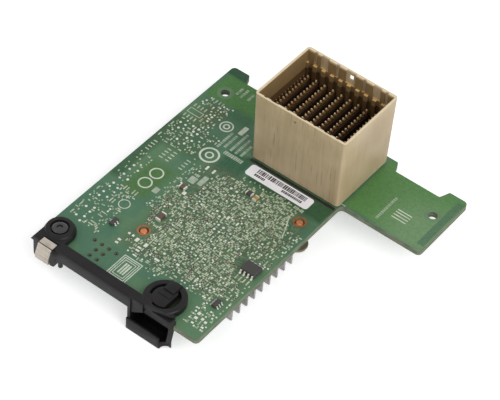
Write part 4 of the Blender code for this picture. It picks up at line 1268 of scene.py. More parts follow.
    def bars(self) -> None:
        """Print the faint bars and blocks that stand where a real card has words."""
        faint = Shape()
        top = self.ink_top
        dice = random.Random(5)
        for x, y0, y1 in ((16.8, 59.0, 66.2), (18.5, 60.2, 66.0), (20.6, 60.2, 68.4), (22.4, 60.2, 67.2),
                          (24.2, 60.4, 65.4), (7.8, 79.3, 82.6), (9.5, 79.0, 83.0), (11.9, 79.4, 82.4),
                          (67.3, 66.4, 76.6)):
            y = y0
            while y < y1:
                step = dice.uniform(0.25, 0.7)
                faint.prism(box_outline(x - 0.42, y, x + 0.42, min(y + step, y1)), 0.0, top)
                y += step + dice.uniform(0.14, 0.26)
        for corners in ((18.6, 43.0, 20.8, 45.6), (21.4, 43.8, 23.0, 47.8), (13.6, 33.4, 15.3, 35.6)):
            faint.prism(box_outline(*corners, 0.2, 2), 0.0, top)
        x, end = 19.6, 26.0
        while x < end:
            step = dice.uniform(0.25, 0.6)
            faint.prism(box_outline(x, 58.0, x + step, 59.4), 0.0, top)
            x += step + 0.18
        add_piece("printed_bars", faint, [self.faint_ink])

    def build(self) -> None:
        """Lay out and make everything on the face."""
        self.keep_clear()
        self.footprints()
        for x, y in self.TEST_POINTS:
            self.put(Kind.TEST_POINT, x, y, Turn.ALONG, 1.0, True)
        pads = Shape()
        for x, y, wide, long in self.BIG_PADS:
            self.face.claim(x, y, wide, long, self.large_pad_margin, force=True)
            pads.prism(box_outline(x - wide / 2, y - long / 2, x + wide / 2, y + long / 2, 0.1, 2), 0.0,
                       self.large_pad_top, edge=0.04)
        add_piece("large_pads", pads, [self.solder])
        self.fill()
        self.copies()
        self.plated_rings()
        self.outlines()
        self.bars()


@dataclass
class LeadedChip:
    """A moulded chip with bent leads down two sides."""

    name: str
    x: float
    y: float
    length: float
    width: float
    height: float
    pitch: float
    lead_width: float
    near_leads: int
    far_leads: int
    reach: float
    turn: Turn = Turn.ACROSS
    replaces: tuple[str, ...] = ()
    stand_off: float = 0.12

    def lead_outline(self, sign: int) -> list[Point]:
        """Return one bent lead seen from its side.

        Args:
            sign: -1 for a lead on the near side, 1 for one on the far side.

        Returns:
            The outline as (y, z) corners.
        """
        thick = 0.16
        mid = self.stand_off + self.height * 0.5
        inner = self.width / 2 - 0.15
        knee = self.width / 2 + self.reach * 0.32
        foot = self.width / 2 + self.reach * 0.55
        toe = self.width / 2 + self.reach
        upper = [(inner, mid + thick), (knee, mid + thick), (foot, thick + 0.05), (toe, thick + 0.05)]
        lower = [(toe, 0.05), (foot - thick, 0.05), (knee - thick * 0.6, mid), (inner, mid)]
        return [(sign * y, z) for y, z in upper + lower]

    def build(self, epoxy: bpy.types.Material, metal: bpy.types.Material) -> None:
        """Make the chip's body with its leads, and put it in its place.

        Args:
            epoxy: The body's finish.
            metal: The leads' finish.
        """
        shape = Shape()
        low, high = self.stand_off, self.stand_off + self.height
        mid = (low + high) / 2
        half_x, half_y = self.length / 2, self.width / 2
        slim = min(0.14, self.height / 6)
        wide = box_outline(-half_x, -half_y, half_x, half_y, 0.12, 2)
        narrow = box_outline(slim - half_x, slim - half_y, half_x - slim, half_y - slim, 0.12, 2)
        crown = box_outline(slim + 0.08 - half_x, slim + 0.08 - half_y, half_x - slim - 0.08,
                            half_y - slim - 0.08, 0.12, 2)
        shape.loft([(narrow, low), (wide, mid), (narrow, high - 0.06), (crown, high)])
        for sign, count in ((-1, self.near_leads), (1, self.far_leads)):
            for index in range(count):
                middle = (index - (count - 1) / 2) * self.pitch * (2 if count == 1 else 1)
                half = self.lead_width / 2
                shape.profile(self.lead_outline(sign), middle - half, middle + half, 1)
        shape.moved(self.x, self.y, 0.0, self.turn)
        add_piece(self.name, shape, [epoxy, metal], replaces=self.replaces)


@dataclass
class BlockChip:
    """A two-ended surface part: a ceramic body between soldered ends."""

    name: str
    x: float
    y: float
    length: float
    width: float
    height: float
    cap: float
    turn: Turn

    def build(self, body: bpy.types.Material, metal: bpy.types.Material) -> None:
        """Make the part and put it in its place.

        Args:
            body: The body's finish.
            metal: The ends' finish.
        """
        shape = Shape()
        half_x, half_y = self.length / 2, self.width / 2
        shape.prism(box_outline(self.cap - half_x, -half_y, half_x - self.cap, half_y), 0.0, self.height, 0, 0.05)
        for sign in (-1, 1):
            low, high = sorted((sign * half_x, sign * (half_x - self.cap - 0.01)))
            shape.prism(box_outline(low, -half_y - 0.01, high, half_y + 0.01), 0.0, self.height + 0.02, 1, 0.06)
        shape.moved(self.x, self.y, 0.02, self.turn)
        add_piece(self.name, shape, [body, metal])


@dataclass
class Underside:
    """The small parts, pads and solder joints under the board, clear of what the solids put there."""

    copier: Copier
    top: BoardTop
    width: float = 84.0
    length: float = 88.0
    under: float = -1.95
    margin: float = 0.15
    solid_margin: float = 0.5
    first_joint: Point = (28.5, 64.2)
    joint_pitch: Point = (2.95, 2.6)
    joint_rows: tuple[int, int] = (10, 8)

    SHARE = ((Kind.DASH, 0.24), (Kind.SHORT_DASH, 0.16), (Kind.CAPACITOR, 0.26), (Kind.VIA, 0.34))
    FIELDS = (
        Field(2.0, 3.0, 34.0, 16.5, SHARE, 0.9, 0.5, 41),
        Field(2.0, 17.0, 16.4, 60.0, SHARE, 1.2, 0.5, 42),
        Field(17.0, 56.8, 56.0, 62.0, SHARE, 1.5, 0.3, 43),
        Field(2.0, 60.0, 25.5, 82.0, SHARE, 1.0, 0.5, 44),
        Field(58.5, 66.5, 82.0, 83.0, SHARE, 0.5, 0.5, 45),
        Field(50.5, 3.0, 56.0, 16.5, SHARE, 0.8, 0.5, 46),
    )
    HOLES = ((12.0, 2.8, 22.9, 10.9), (0.0, 0.0, 10.8, 10.8), (2.0, 74.6, 8.0, 80.6), (75.6, 74.4, 82.0, 80.8),
             (33.8, 0.0, 50.2, 12.0))

    def __post_init__(self) -> None:
        """Start with a free face."""
        self.face = Surface(self.width, self.length)
        self.spots: dict[Kind, list[Spot]] = {kind: [] for kind in Kind}

    def keep_clear(self) -> None:
        """Take the holes' places and those of the solids that reach below the board."""
        for hole in self.HOLES:
            self.face.take(*hole)
        room = self.solid_margin
        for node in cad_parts:
            low, high = (CARD.inside(corner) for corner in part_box(node))
            if node != "circuit_board" and low[2] < self.under - 0.1:
                self.face.take(low[0] - room, low[1] - room, high[0] + room, high[1] + room)

    def strew(self) -> None:
        """Fill what is free."""
        for stretch_of_board in self.FIELDS:
            for kind, x, y, turn, stretch in stretch_of_board.spots():
                wide, long = kind.value if turn is Turn.ALONG else reversed(kind.value)
                if self.face.claim(x, y, wide, long, self.margin):
                    self.spots[kind].append(Spot.lying(x, y, turn, stretch))

    def build(self) -> None:
        """Lay the parts, pads, vias and the connector's soldered pin tails."""
        self.keep_clear()
        self.strew()
        lay, top, spots, under = self.copier.lay, self.top, self.spots, self.under
        lay("under_pads", spots[Kind.DASH], pad(1.16, -0.05, 0.0), top.lacquered_pad, "contact_plating", under,
            seed=31)
        lay("under_pads_short", spots[Kind.SHORT_DASH], pad(0.66, -0.05, 0.0), top.lacquered_pad,
            "contact_plating", under, seed=32)
        ends = chip_ends(EndBlock(half=0.27, near=0.24, far=0.54, low=-0.38, high=0.0))
        lay("under_chip_ends", spots[Kind.CAPACITOR], ends, top.solder, "spring_steel", under, 1.5, 0.0, 33)
        tan = Grained("under_ceramic", shade(146, 128, 100), shade(106, 92, 72), cloud=0.001, roughness=0.55).make()
        lay("under_chip_bodies", spots[Kind.CAPACITOR], chip_body(-0.35, 0.0), tan, "dark_insulator", under, 1.5,
            0.0, 33)
        via = Shape().ring(0.0, 0.0, Washer(outer=0.25, inner=0.09, high=0.0, sides=10), -0.035)
        lay("under_vias", spots[Kind.VIA], via, top.lacquered_pad, "contact_plating", under, seed=34)
        joint = Shape().lathe(0.0, 0.0, [(0.24, -0.75), (0.26, -0.35), (0.42, -0.1), (0.55, 0.0)], 12)
        (x, y), (across, along), (columns, rows) = self.first_joint, self.joint_pitch, self.joint_rows
        joints = [Spot(x + across * column, y + along * row) for column in range(columns) for row in range(rows)]
        lay("connector_joints", joints, joint, top.solder, "spring_steel", under, seed=35, smooth=50.0)


class SurfaceChips:
    """The larger parts soldered to the upper face."""

    def build(self, solder: bpy.types.Material) -> None:
        """Make every chip in its own finish.

        Args:
            solder: The finish of leads and ends.
        """
        epoxy = Grained("chip_epoxy_black", shade(74, 72, 70), shade(62, 60, 58), cloud=0.003, grain=0.00009,
                        roughness=0.62, depth=0.000012, shine=0.35).make()
        LeadedChip("driver_chip_body", x=53.0, y=28.35, length=4.9, width=3.9, height=1.45, pitch=1.27,
                   lead_width=0.52, near_leads=4, far_leads=4, reach=0.95,
                   replaces=("driver_chip",)).build(epoxy, solder)
        LeadedChip("small_logic_chip", x=53.3, y=12.9, length=2.9, width=1.6, height=1.05, pitch=0.95,
                   lead_width=0.36, near_leads=3, far_leads=3, reach=0.62, turn=Turn.ALONG).build(epoxy, solder)
        LeadedChip("small_transistor", x=13.55, y=17.5, length=2.9, width=1.4, height=1.0, pitch=0.95,
                   lead_width=0.42, near_leads=2, far_leads=1, reach=0.62, turn=Turn.ALONG).build(epoxy, solder)
        brown = Grained("ceramic_brown", shade(104, 84, 70), shade(74, 58, 48), cloud=0.0014).make()
        BlockChip("filter_block_1", x=22.1, y=27.4, length=3.2, width=1.6, height=0.9, cap=0.45,
                  turn=Turn.ALONG).build(brown, solder)
        BlockChip("filter_block_2", x=19.6, y=40.1, length=2.2, width=1.5, height=0.8, cap=0.4,
                  turn=Turn.ACROSS).build(brown, solder)
        BlockChip("dark_block", x=35.2, y=50.4, length=2.2, width=1.3, height=0.7, cap=0.35,
                  turn=Turn.ACROSS).build(epoxy, solder)
        amber = Grained("tantalum_amber", shade(196, 162, 92), shade(150, 116, 62), cloud=0.0014).make()
        BlockChip("amber_block", x=37.6, y=50.0, length=1.9, width=1.2, height=0.8, cap=0.35,
                  turn=Turn.ALONG).build(amber, solder)


@dataclass
class Label:
    """The white sticker with its plain bars."""

    left: float = 28.8
    near: float = 55.95
    right: float = 50.7
    far: float = 60.4
    corner: float = 0.9
    thickness: float = 0.12
    ink_top: float = 0.14
    tall_bars: Span = (58.2, 59.9)
    short_bars: Span = (56.9, 57.8)

    def bar(self, bars: Shape, x: float, wide: float, span: Span) -> None:
        """Print one upright bar."""
        bars.prism(box_outline(x, span[0], x + wide, span[1]), self.thickness, self.ink_top)

    def build(self) -> None:
        """Make the sticker and the bars printed on it."""
        paper = Grained("label_paper", shade(250, 249, 252), shade(236, 235, 240), cloud=0.004, grain=0.0002,
                        roughness=0.65).make()
        sheet = Shape().prism(box_outline(self.left, self.near, self.right, self.far, self.corner, 5), 0.0,
                              self.thickness, edge=0.03)
        add_piece("label_sheet", sheet, [paper])
        bars = Shape()
        dice = random.Random(9)
        x = self.left + 2.8
        while x < self.right - 2.2:
            wide = dice.choice((0.2, 0.34, 0.5))
            self.bar(bars, x, wide, self.tall_bars)
            x += wide + dice.choice((0.15, 0.22, 0.32))
        for start, end in ((31.6, 34.9), (41.2, 48.2)):
            x = start
            while x < end:
                wide = dice.uniform(0.3, 0.55)
                self.bar(bars, x, wide, self.short_bars)
                x += wide + 0.16
        ink = Grained("label_ink", shade(60, 54, 58), shade(46, 42, 46), cloud=0.001, roughness=0.7).make()
        add_piece("label_bars", bars, [ink])


@dataclass
class PlugConnector:
    """The tall connector: its shroud, wafers and contact rows, and what stands along its walls."""

    copier: Copier
    side_wall: float = 0.55
    end_wall: float = 0.8
    dark_below_tip: float = 0.55
    rib_start: Point = (0.95, 2.1)
    rib_height: float = 16.6
    rib_pitch: float = 1.42
    rib_count: int = 15
    tail_start: Point = (1.1, -0.16)
    tail_pitch: float = 1.02
    tail_count: int = 29

    def build(self) -> None:
        """Dress the connector's solids and add the ribs and tails."""
        # The shroud's rim gets a painted highlight, its inner ledges painted light and its walls inside painted shade.
        beige = BoxMoulding("beige_moulding", "connector_shroud", light=shade(206, 186, 152),
                            dark=shade(186, 164, 128), line=shade(146, 122, 88), rim_highlight=shade(246, 226, 190),
                            ledge_light=shade(216, 176, 112), inner=(shade(150, 124, 84), shade(84, 60, 36)),
                            side_wall=self.side_wall, end_wall=self.end_wall, roughness=0.45).make()
        dress("connector_shroud", beige)
        dark = Grained("wafer_plastic", shade(72, 53, 35), shade(46, 34, 22), grain=0.00015, shine=0.3).make()
        row_top = CARD.inside(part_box("contact_row_02")[1]).z
        # The contacts and ribs are darker below their tips.
        gold = Grained("contact_plating", shade(250, 228, 186), shade(214, 178, 124), cloud=0.001, roughness=0.32,
                       metallic=0.35,
                       patches=(Patch(shade(128, 94, 56), z=(-5.0, row_top - self.dark_below_tip), soft=0.15),)).make()
        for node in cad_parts:
            if node.startswith("wafer_"):
                dress(node, dark)
            if node.startswith("contact_row_"):
                dress(node, gold)
        corner = CARD.inside(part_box("connector_shroud")[0])
        self.ribs(corner, gold)
        self.tails(corner)

    def ribs(self, corner: Vector, gold: bpy.types.Material) -> None:
        """Stand thin plated ribs along the left inner wall.

        Args:
            corner: The shroud's lowest corner.
            gold: The ribs' finish.
        """
        rib = Shape().prism(box_outline(-0.12, -0.2, 0.12, 0.2), -5.0, 0.0)
        rib.prism(box_outline(-0.08, -0.14, 0.2, 0.14), 0.0, 0.5, edge=0.06)
        x, y = self.rib_start
        rows = [Spot(corner.x + x, corner.y + y + self.rib_pitch * index) for index in range(self.rib_count)]
        self.copier.lay("wall_ribs", rows, rib, gold, "contact_plating", height=self.rib_height, turn_spread=0.0,
                        size_spread=0.0)

    def tails(self, corner: Vector) -> None:
        """Lay dark soldered tails along the connector's front foot; their dark tone is painted shadow of the gap under
        the connector.

        Args:
            corner: The shroud's lowest corner.
        """
        tail = Shape().prism(box_outline(-0.5, -0.42, 0.5, 0.3), 0.0, 0.32, edge=0.1)
        dark = Grained("tail_shadow_brown", shade(52, 48, 36), shade(30, 30, 24), cloud=0.0012, roughness=0.6,
                       shine=0.3).make()
        x, y = self.tail_start
        row = [Spot(corner.x + x + self.tail_pitch * index, corner.y + y) for index in range(self.tail_count)]
        self.copier.lay("connector_tails", row, tail, dark, "dark_insulator", turn_spread=4.0, size_spread=0.16,
                        seed=12)


@dataclass
class CoolingParts:
    """The heat sink, its pins and springs, and the packages under the board."""

    bare_pin: Span = (-20.0, -2.3)

    def build(self) -> None:
        """Dress the solids under the board."""
        fins = DrawnMetal("extruded_fins", shade(190, 188, 186), shade(128, 126, 124), along="X", roughness=0.5,
                          metallic=0.55).make()
        dress("heat_sink", fins)
        pin = Grained("pin_copper", shade(232, 152, 100), shade(178, 98, 56), cloud=0.0012, roughness=0.35,
                      metallic=0.4, patches=(Patch(shade(136, 130, 108), z=self.bare_pin, soft=0.2),)).make()
        steel = DrawnMetal("spring_wire", shade(212, 208, 200), shade(150, 146, 138), along="Z", roughness=0.3).make()
        for index in (1, 2):
            dress(f"heat_sink_pin_{index}", pin)
            dress(f"pin_spring_{index}", steel)
        package = Grained("package_green", shade(70, 104, 74), shade(54, 84, 58), cloud=0.003, grain=0.0002).make()
        dress("controller_chip", package)
        gel = Grained("thermal_pad", shade(164, 166, 170), shade(142, 144, 148), grain=0.0002, roughness=0.8).make()
        dress("thermal_pad", gel)
        can = DrawnMetal("crystal_can", shade(206, 204, 200), shade(160, 158, 154), along="X", roughness=0.3).make()
        dress("crystal_can", can)
        ferrite = Grained("ferrite_grey", shade(86, 84, 82), shade(66, 64, 62), roughness=0.7).make()
        tantalum = Grained("capacitor_black", shade(58, 56, 54), shade(42, 40, 38), cloud=0.003).make()
        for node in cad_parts:
            if node.startswith("power_inductor_"):
                dress(node, ferrite)
            if node.startswith("bulk_capacitor_"):
                dress(node, tantalum)
        dress("flash_chip", tantalum)


class Carving:
    """A solid that is joined with others and cut, step by step, by exact Booleans."""

    SEGMENTS = 2
    SHARP = 40.0

    def __init__(self, name: str, first: Shape) -> None:
        """Start with the first solid."""
        self.tools: list[bpy.types.Object] = []
        self.item = self.solid(name, first)

    @staticmethod
    def solid(name: str, shape: Shape) -> bpy.types.Object:
        """Return a shape as an object in the scene.

        Args:
            name: The object's name.
            shape: The shape.

        Returns:
            The object.
        """
        item = bpy.data.objects.new(name, shape.mesh(name))
        bpy.context.scene.collection.objects.link(item)
        return item

    def step(self, shape: "Shape | Carving", operation: str) -> "Carving":
        """Add one Boolean step with a shape, or with another carving, and return this one.

        Args:
            shape: What is joined or cut away.
            operation: The Boolean's own name.

        Returns:
            This carving.
        """
        if isinstance(shape, Carving):
            tool = shape.item
            self.tools += shape.tools
        else:
            tool = self.solid(f"{self.item.name}_{len(self.tools)}", shape)
        modifier = self.item.modifiers.new(tool.name, "BOOLEAN")
        modifier.operation = operation
        modifier.solver = "EXACT"
        modifier.object = tool
        self.tools.append(tool)
        return self

    def join(self, *shapes: Shape) -> "Carving":
        """Join solids to this one.

        Args:
            shapes: The solids, in order.

        Returns:
            This carving.
        """
        for shape in shapes:
            self.step(shape, "UNION")
        return self

    def cut(self, *shapes: "Shape | Carving") -> "Carving":
        """Cut solids from this one.

        Args:
            shapes: The solids or carvings, in order.

        Returns:
            This carving.
        """
        for shape in shapes:
            self.step(shape, "DIFFERENCE")
        return self

    def finish(self, edge: float) -> bpy.types.Object:
        """Apply every step, round the sharp edges by edge millimetres and drop the tools.

        Args:
            edge: The radius of the rounded edges, in millimetres.

        Returns:
            The finished object.
        """
        rounding = self.item.modifiers.new("edges", "BEVEL")
        rounding.width = edge * MM
        rounding.segments = self.SEGMENTS
        rounding.limit_method = "ANGLE"
        rounding.angle_limit = math.radians(self.SHARP)
        bpy.context.view_layer.update()
        made = bpy.data.meshes.new_from_object(self.item.evaluated_get(bpy.context.evaluated_depsgraph_get()))
        self.item.modifiers.clear()
        self.item.data = made
        made.name = self.item.name
        for tool in self.tools:
            bpy.data.objects.remove(tool)
        return self.item


@dataclass
class EdgeBracket:
    """The moulded bracket with its screw and spring clip, its sizes in card millimetres."""

    gap: float = 0.3
    left: float = 1.2
    overhang: float = 0.9
    top: float = 2.0
    front: float = 1.7
    lap: float = 1.55
    under: float = -1.95
    floor: float = -10.2
    boss: Point = (5.0, 4.9)
    boss_radius: float = 4.6
    boss_step: float = 1.3
    boss_top: float = 2.6
    boss_crown: float = 3.9
    bore_radius: float = 2.75
    bore_depth: float = 0.9
    shank_radius: float = 1.3
    ring: Point = (42.2, 4.8)
    ring_radius: float = 6.1
    ring_bore: float = 4.4
    ring_top: float = 2.3
    core_radius: float = 3.65
    core_flat: float = 2.1
    core_top: float = 2.1
    bridge: tuple[float, float, float, float] = (2.1, 1.4, 5.4, 2.7)
    skirt: tuple[float, float, float] = (8.8, 5.8, 1.2)
    peg: tuple[float, float, float] = (10.2, 0.7, 5.0)
    clip: tuple[float, float, float] = (3.9, 4.6, 0.5)
    hook: Span = (34.6, 48.4)
    hook_front: float = 2.2
    hook_back: float = 3.6
    wall: float = 1.0
    lip: float = 4.1
    lip_wall: float = 0.7
    corner: float = 2.5
    sill: float = 2.6
    taper: float = 2.7
    flare: float = 1.4
    slant: float = 2.2
    gusset: tuple[float, float, float] = (3.9, 2.5, 3.3)
    arch: float = 1.0
    edge: float = 0.11
    shading: float = 35.0

    # Painted shade in the hook's cavity, darkening the bracket's inside there.
    CAVITY_SHADE = (
        Patch(shade(20, 17, 17), (35.3, 47.7), (-1.65, 2.9), (-9.6, 0.6), 0.1),
        Patch(shade(20, 17, 18), (45.0, 47.3), (-3.0, 2.9), (-9.6, 0.6), 0.1),
    )

    def upper(self) -> Carving:
        """Return the flat upper part with its boss and its pierced ring.

        Returns:
            The carving, which the rest is joined to.
        """
        low, gap, face = self.gap, self.gap, -self.front
        bx, by = self.boss
        rx, ry = self.ring
        start = self.left - self.overhang
        pad = Shape().plate([(start, low), (bx + self.boss_radius, low), (bx + self.boss_radius, self.top),
                             (self.left, self.top), (start, low + 0.2)], face, by)
        boss = Shape().lathe(bx, by, [(self.boss_radius, low), (self.boss_radius, self.boss_step),
                                      (self.boss_crown, self.boss_top)], 40)
        ring = Shape().lathe(rx, ry, [(self.ring_radius, low), (self.ring_radius, self.ring_top - low),
                                      (self.ring_radius - low, self.ring_top)], 48)
        west, east, reach, rise = self.bridge
        bridge = Shape().block(rx - west, ry + self.core_radius / 2, self.top / 2, rx + east, ry + reach, rise)
        lap = Shape().block(self.left, face, low, self.hook[1], self.lap, self.top)
        body = Carving("bracket_moulding", lap).join(pad, boss, ring, bridge)
        disc = Shape().lathe(rx, ry, [(self.core_radius, -2 * gap), (self.core_radius, self.core_top)], 44)
        beyond = Shape().block(rx + self.core_flat, ry - 2 * self.core_radius, -3 * gap,
                               rx + 2 * self.core_radius, ry + 2 * self.core_radius, self.core_top + gap)
        web = Shape().block(rx - self.ring_bore - gap, ry - self.ring_bore - gap, -2 * gap,
                            rx - self.ring_bore / 3, ry - self.ring_bore / 3, self.top)
        neck = Shape().block(rx - west - 0.2, ry, -2 * gap, rx + east + 0.2, ry + self.ring_radius,
                             self.ring_top + 2 * gap)
        core = Carving("ring_core", disc).cut(beyond).join(web, neck)
        bore = Carving("ring_bore", Shape().lathe(rx, ry, [(self.ring_bore, -gap), (self.ring_bore, 3.0)], 47))
        return body.cut(bore.cut(core))

    def mouth(self) -> Shape:
        """Return what is cut from the plate above the hook, so that the hook opens in front and above.

        Returns:
            The solid that is cut away.
        """
        left, right = self.hook[0] + self.wall, self.hook[1]
        front = -self.gap - self.wall
        reach = right + self.wall
        slope = self.slant / (right - left)
        return Shape().prism([(left, -9.0), (reach, -9.0), (reach, front + slope * (reach - left)), (left, front)],
                             0.0, 2.7)

    def edge_parts(self) -> tuple[Shape, ...]:
        """Return what hangs in front of the board's near edge: bar, skirt and peg.

        Returns:
            The bar, the skirt and the peg.
        """
        right, depth, radius = self.skirt
        corner = [(self.left + radius * (1 - math.sin(turn)), -depth + radius * (1 - math.cos(turn)))
                  for turn in (math.radians(90 - 22.5 * index) for index in range(5))]
        corner += [(right - radius * (1 - math.sin(turn)), -depth + radius * (1 - math.cos(turn)))
                   for turn in (math.radians(22.5 * index) for index in range(5))]
        x, thick, reach = self.peg
        bar = Shape().block(self.left, -self.front, self.under, self.hook[0] + self.wall, -self.gap, self.top)
        skirt = Shape().plate(corner + [(right, 1.0), (self.left, 1.0)], -self.front, -self.gap)
        peg = Shape().lathe(x, -self.front / 2, [(thick / 2, -reach), (thick, thick / 2 - reach), (thick, 0.0)], 20)
        return bar, skirt, peg

    def hook_parts(self) -> tuple[Shape, ...]:
        """Return the scoop-shaped hook: floor, lip, slanted corner, walls, gusset and lining.

        Returns:
            The solids that are joined to the bracket.
        """
        (left, right), low, gap, wall = self.hook, self.floor, self.gap, self.wall
        front, back, roof, lip = -self.hook_front, self.hook_back, self.under - gap, low + self.lip
        lip_end = right - self.corner
        side = Shape().profile([(front, low), (back, low), (back, roof), (-gap, roof), (-gap, self.top),
                                (-self.front, self.top), (-self.front, lip), (front, lip)], left, left + wall)
        heel = right - self.taper
        far = Shape().prism([(right, gap), (heel, back), (heel - wall, back), (right - 1.3 * wall, gap)], low, roof)
        floor = Shape().prism([(left, front), (lip_end, front), (right, gap), (heel, back), (left, back)], low,
                              low + wall)
        slim = self.lip_wall
        corner = Shape().prism([(lip_end - slim, front), (lip_end, front), (right, gap), (right - wall, gap)], low,
                               low + self.sill)
        foot = [(right - wall - 0.1, -gap - 0.65), (right - wall + 0.02, -gap - 0.7), (right - 0.05, gap),
                (right - wall, gap)]
        crest = [(x + self.flare, y) for x, y in foot]
        post = Shape().loft([(foot, low + self.sill - 0.4), (crest, self.top - 0.2)])
        bar = Shape().block(left, front, low, lip_end, front + slim, lip)
        rear = Shape().block(left, back - wall, low, heel, back, roof)
        wide, drop, lift = self.gusset
        near, crown, base = left + 0.1, self.top - 0.06, self.under - drop
        end = left + wall + wide
        gusset = Shape().plate([(near, crown), (near, base), (end, base + lift), (end, crown)],
                               -gap - wall + 0.04, 0.04 - gap)
        lining = Shape().profile([(-gap, roof), (-0.03, roof), (-0.03, 0.03), (1.5, 0.03), (1.5, gap + 0.1),
                                  (-gap, gap + 0.1)], left + wall / 2, right - 0.2)
        return side, far, floor, corner, post, bar, rear, gusset, lining

    def cuts(self) -> tuple[Shape, ...]:
        """Return the boss's counterbore and screw hole, the clip's pocket and the hook's arch.

        Returns:
            The solids that are cut away.
        """
        bx, by = self.boss
        bore = Shape().lathe(bx, by, [(self.bore_radius, self.boss_top - self.bore_depth), (self.bore_radius, 3.2)], 36)
        shank = Shape().lathe(bx, by, [(self.shank_radius, -self.gap), (self.shank_radius, self.boss_top)], 24)
        x, wide, deep = self.clip
        pocket = Shape().block(x - self.gap, -self.front - self.gap, self.top - deep, x + wide + self.gap, self.gap,
                               self.top + self.gap)
        middle = self.hook[1] - self.corner / 2
        arch = Shape().plate(round_outline(middle, self.floor - self.arch / 10, self.arch, 21),
                             -self.hook_front - self.gap, self.hook_back + self.gap)
        return bore, shank, pocket, arch

    def moulding(self) -> bpy.types.Object:
        """Carve the bracket and return it as one rounded piece."""
        body = self.upper().cut(self.mouth()).join(*self.edge_parts(), *self.hook_parts()).cut(*self.cuts())
        return body.finish(self.edge)

    def build(self) -> None:
        """Make the bracket and dress its screw and clip."""
        # Its patches are painted shade in the hook's cavity.
        black = Grained("black_moulding", shade(36, 33, 34), shade(23, 21, 22), cloud=0.006, grain=0.00016,
                        roughness=0.36, depth=0.00002, shine=0.2, patches=self.CAVITY_SHADE).make()
        piece = self.moulding()
        soften(piece.data, self.shading)
        settle(piece, [black], ("bracket",))
        screw = Grained("black_screw", shade(34, 32, 34), shade(18, 17, 18), roughness=0.18, shine=0.7).make()
        dress("bracket_screw", screw)
        # The clip's dark line between its top strip and its front face is painted shade in the groove.
        silver = DrawnMetal("clip_steel", shade(202, 192, 180), shade(162, 152, 140), along="X", roughness=0.34,
                            metallic=0.6,
                            crease_shade=Patch(shade(58, 52, 48), y=(-2.55, -2.25), z=(1.2, 5.0), soft=0.07)).make()
        dress("spring_clip", silver)


class Board:
    """The circuit board's material, with painted shadow and painted light where the connector and the bracket shade the
    board.
    """

    ZONES = (
        Patch(shade(60, 98, 68), (-1.0, 3.4), (31.0, 62.0), soft=1.0, wander=1.5, strength=0.9),
        Patch(shade(82, 122, 70), (6.0, 14.4), (29.5, 43.6), soft=1.5, wander=2.2),
        Patch(shade(72, 104, 72), (-1.0, 16.5), (50.0, 62.5), soft=1.5, strength=0.7, wander=2.0),
        Patch(shade(86, 138, 74), (1.0, 27.0), (73.8, 86.0), soft=1.2, wander=1.5),
        Patch(shade(50, 90, 62), (-1.0, 7.0), (84.6, 89.0), soft=0.6, wander=0.6),
        Patch(shade(70, 116, 82), (10.6, 19.0), (70.2, 74.6), soft=1.2, wander=1.5),
        Patch(shade(52, 98, 70), (20.5, 29.0), (51.5, 61.5), soft=1.2, wander=1.5),
        Patch(shade(84, 104, 76), (18.5, 55.0), (13.0, 54.0), (-1.0, 6.0), soft=1.8, strength=0.75, wander=2.5),
        # Painted shade on the board in front of the connector.
        Patch(shade(50, 88, 58), (31.0, 57.0), (54.2, 61.0), (-0.9, 4.0), soft=0.8, wander=1.0, strength=0.9),
        Patch(shade(90, 106, 66), (4.5, 11.0), (62.5, 72.0), soft=1.6, strength=0.7, wander=1.5),
        Patch(shade(92, 140, 80), (57.4, 90.0), (64.9, 87.6), soft=0.3),
        # Painted light: the board grows lighter away from the connector's shade.
        Patch(shade(122, 156, 114), (70.0, 90.0), (60.0, 80.0), soft=6.0, strength=0.85),
        Patch(shade(84, 118, 94), (81.2, 83.4), (66.2, 86.4), soft=0.15, strength=0.8),
        # Painted shadow along the connector's front foot.
        Patch(shade(62, 70, 60), (26.0, 57.4), (60.4, 61.7), soft=0.3, strength=0.7),
        # Painted shadow on the board inside the bracket's ring.
        Patch(shade(46, 44, 30), (37.8, 46.6), (0.4, 9.2), (-0.6, 1.0), soft=0.4, strength=0.9),
    )
    CROWDED = Patch(shade(0, 0, 0), (22.0, 53.0), (15.0, 52.0), (-0.9, 6.0), soft=1.5, strength=0.5, wander=1.2)

    def build(self) -> None:
        """Dress the board."""
        mask = SolderMask("solder_mask", over_copper=shade(92, 128, 95), over_laminate=shade(78, 118, 93),
                          edge_light=shade(136, 144, 122), edge_dark=shade(98, 110, 88), track=shade(136, 150, 118),
                          gap=shade(52, 70, 50), crowded=self.CROWDED, zones=self.ZONES).make()
        dress("circuit_board", mask)


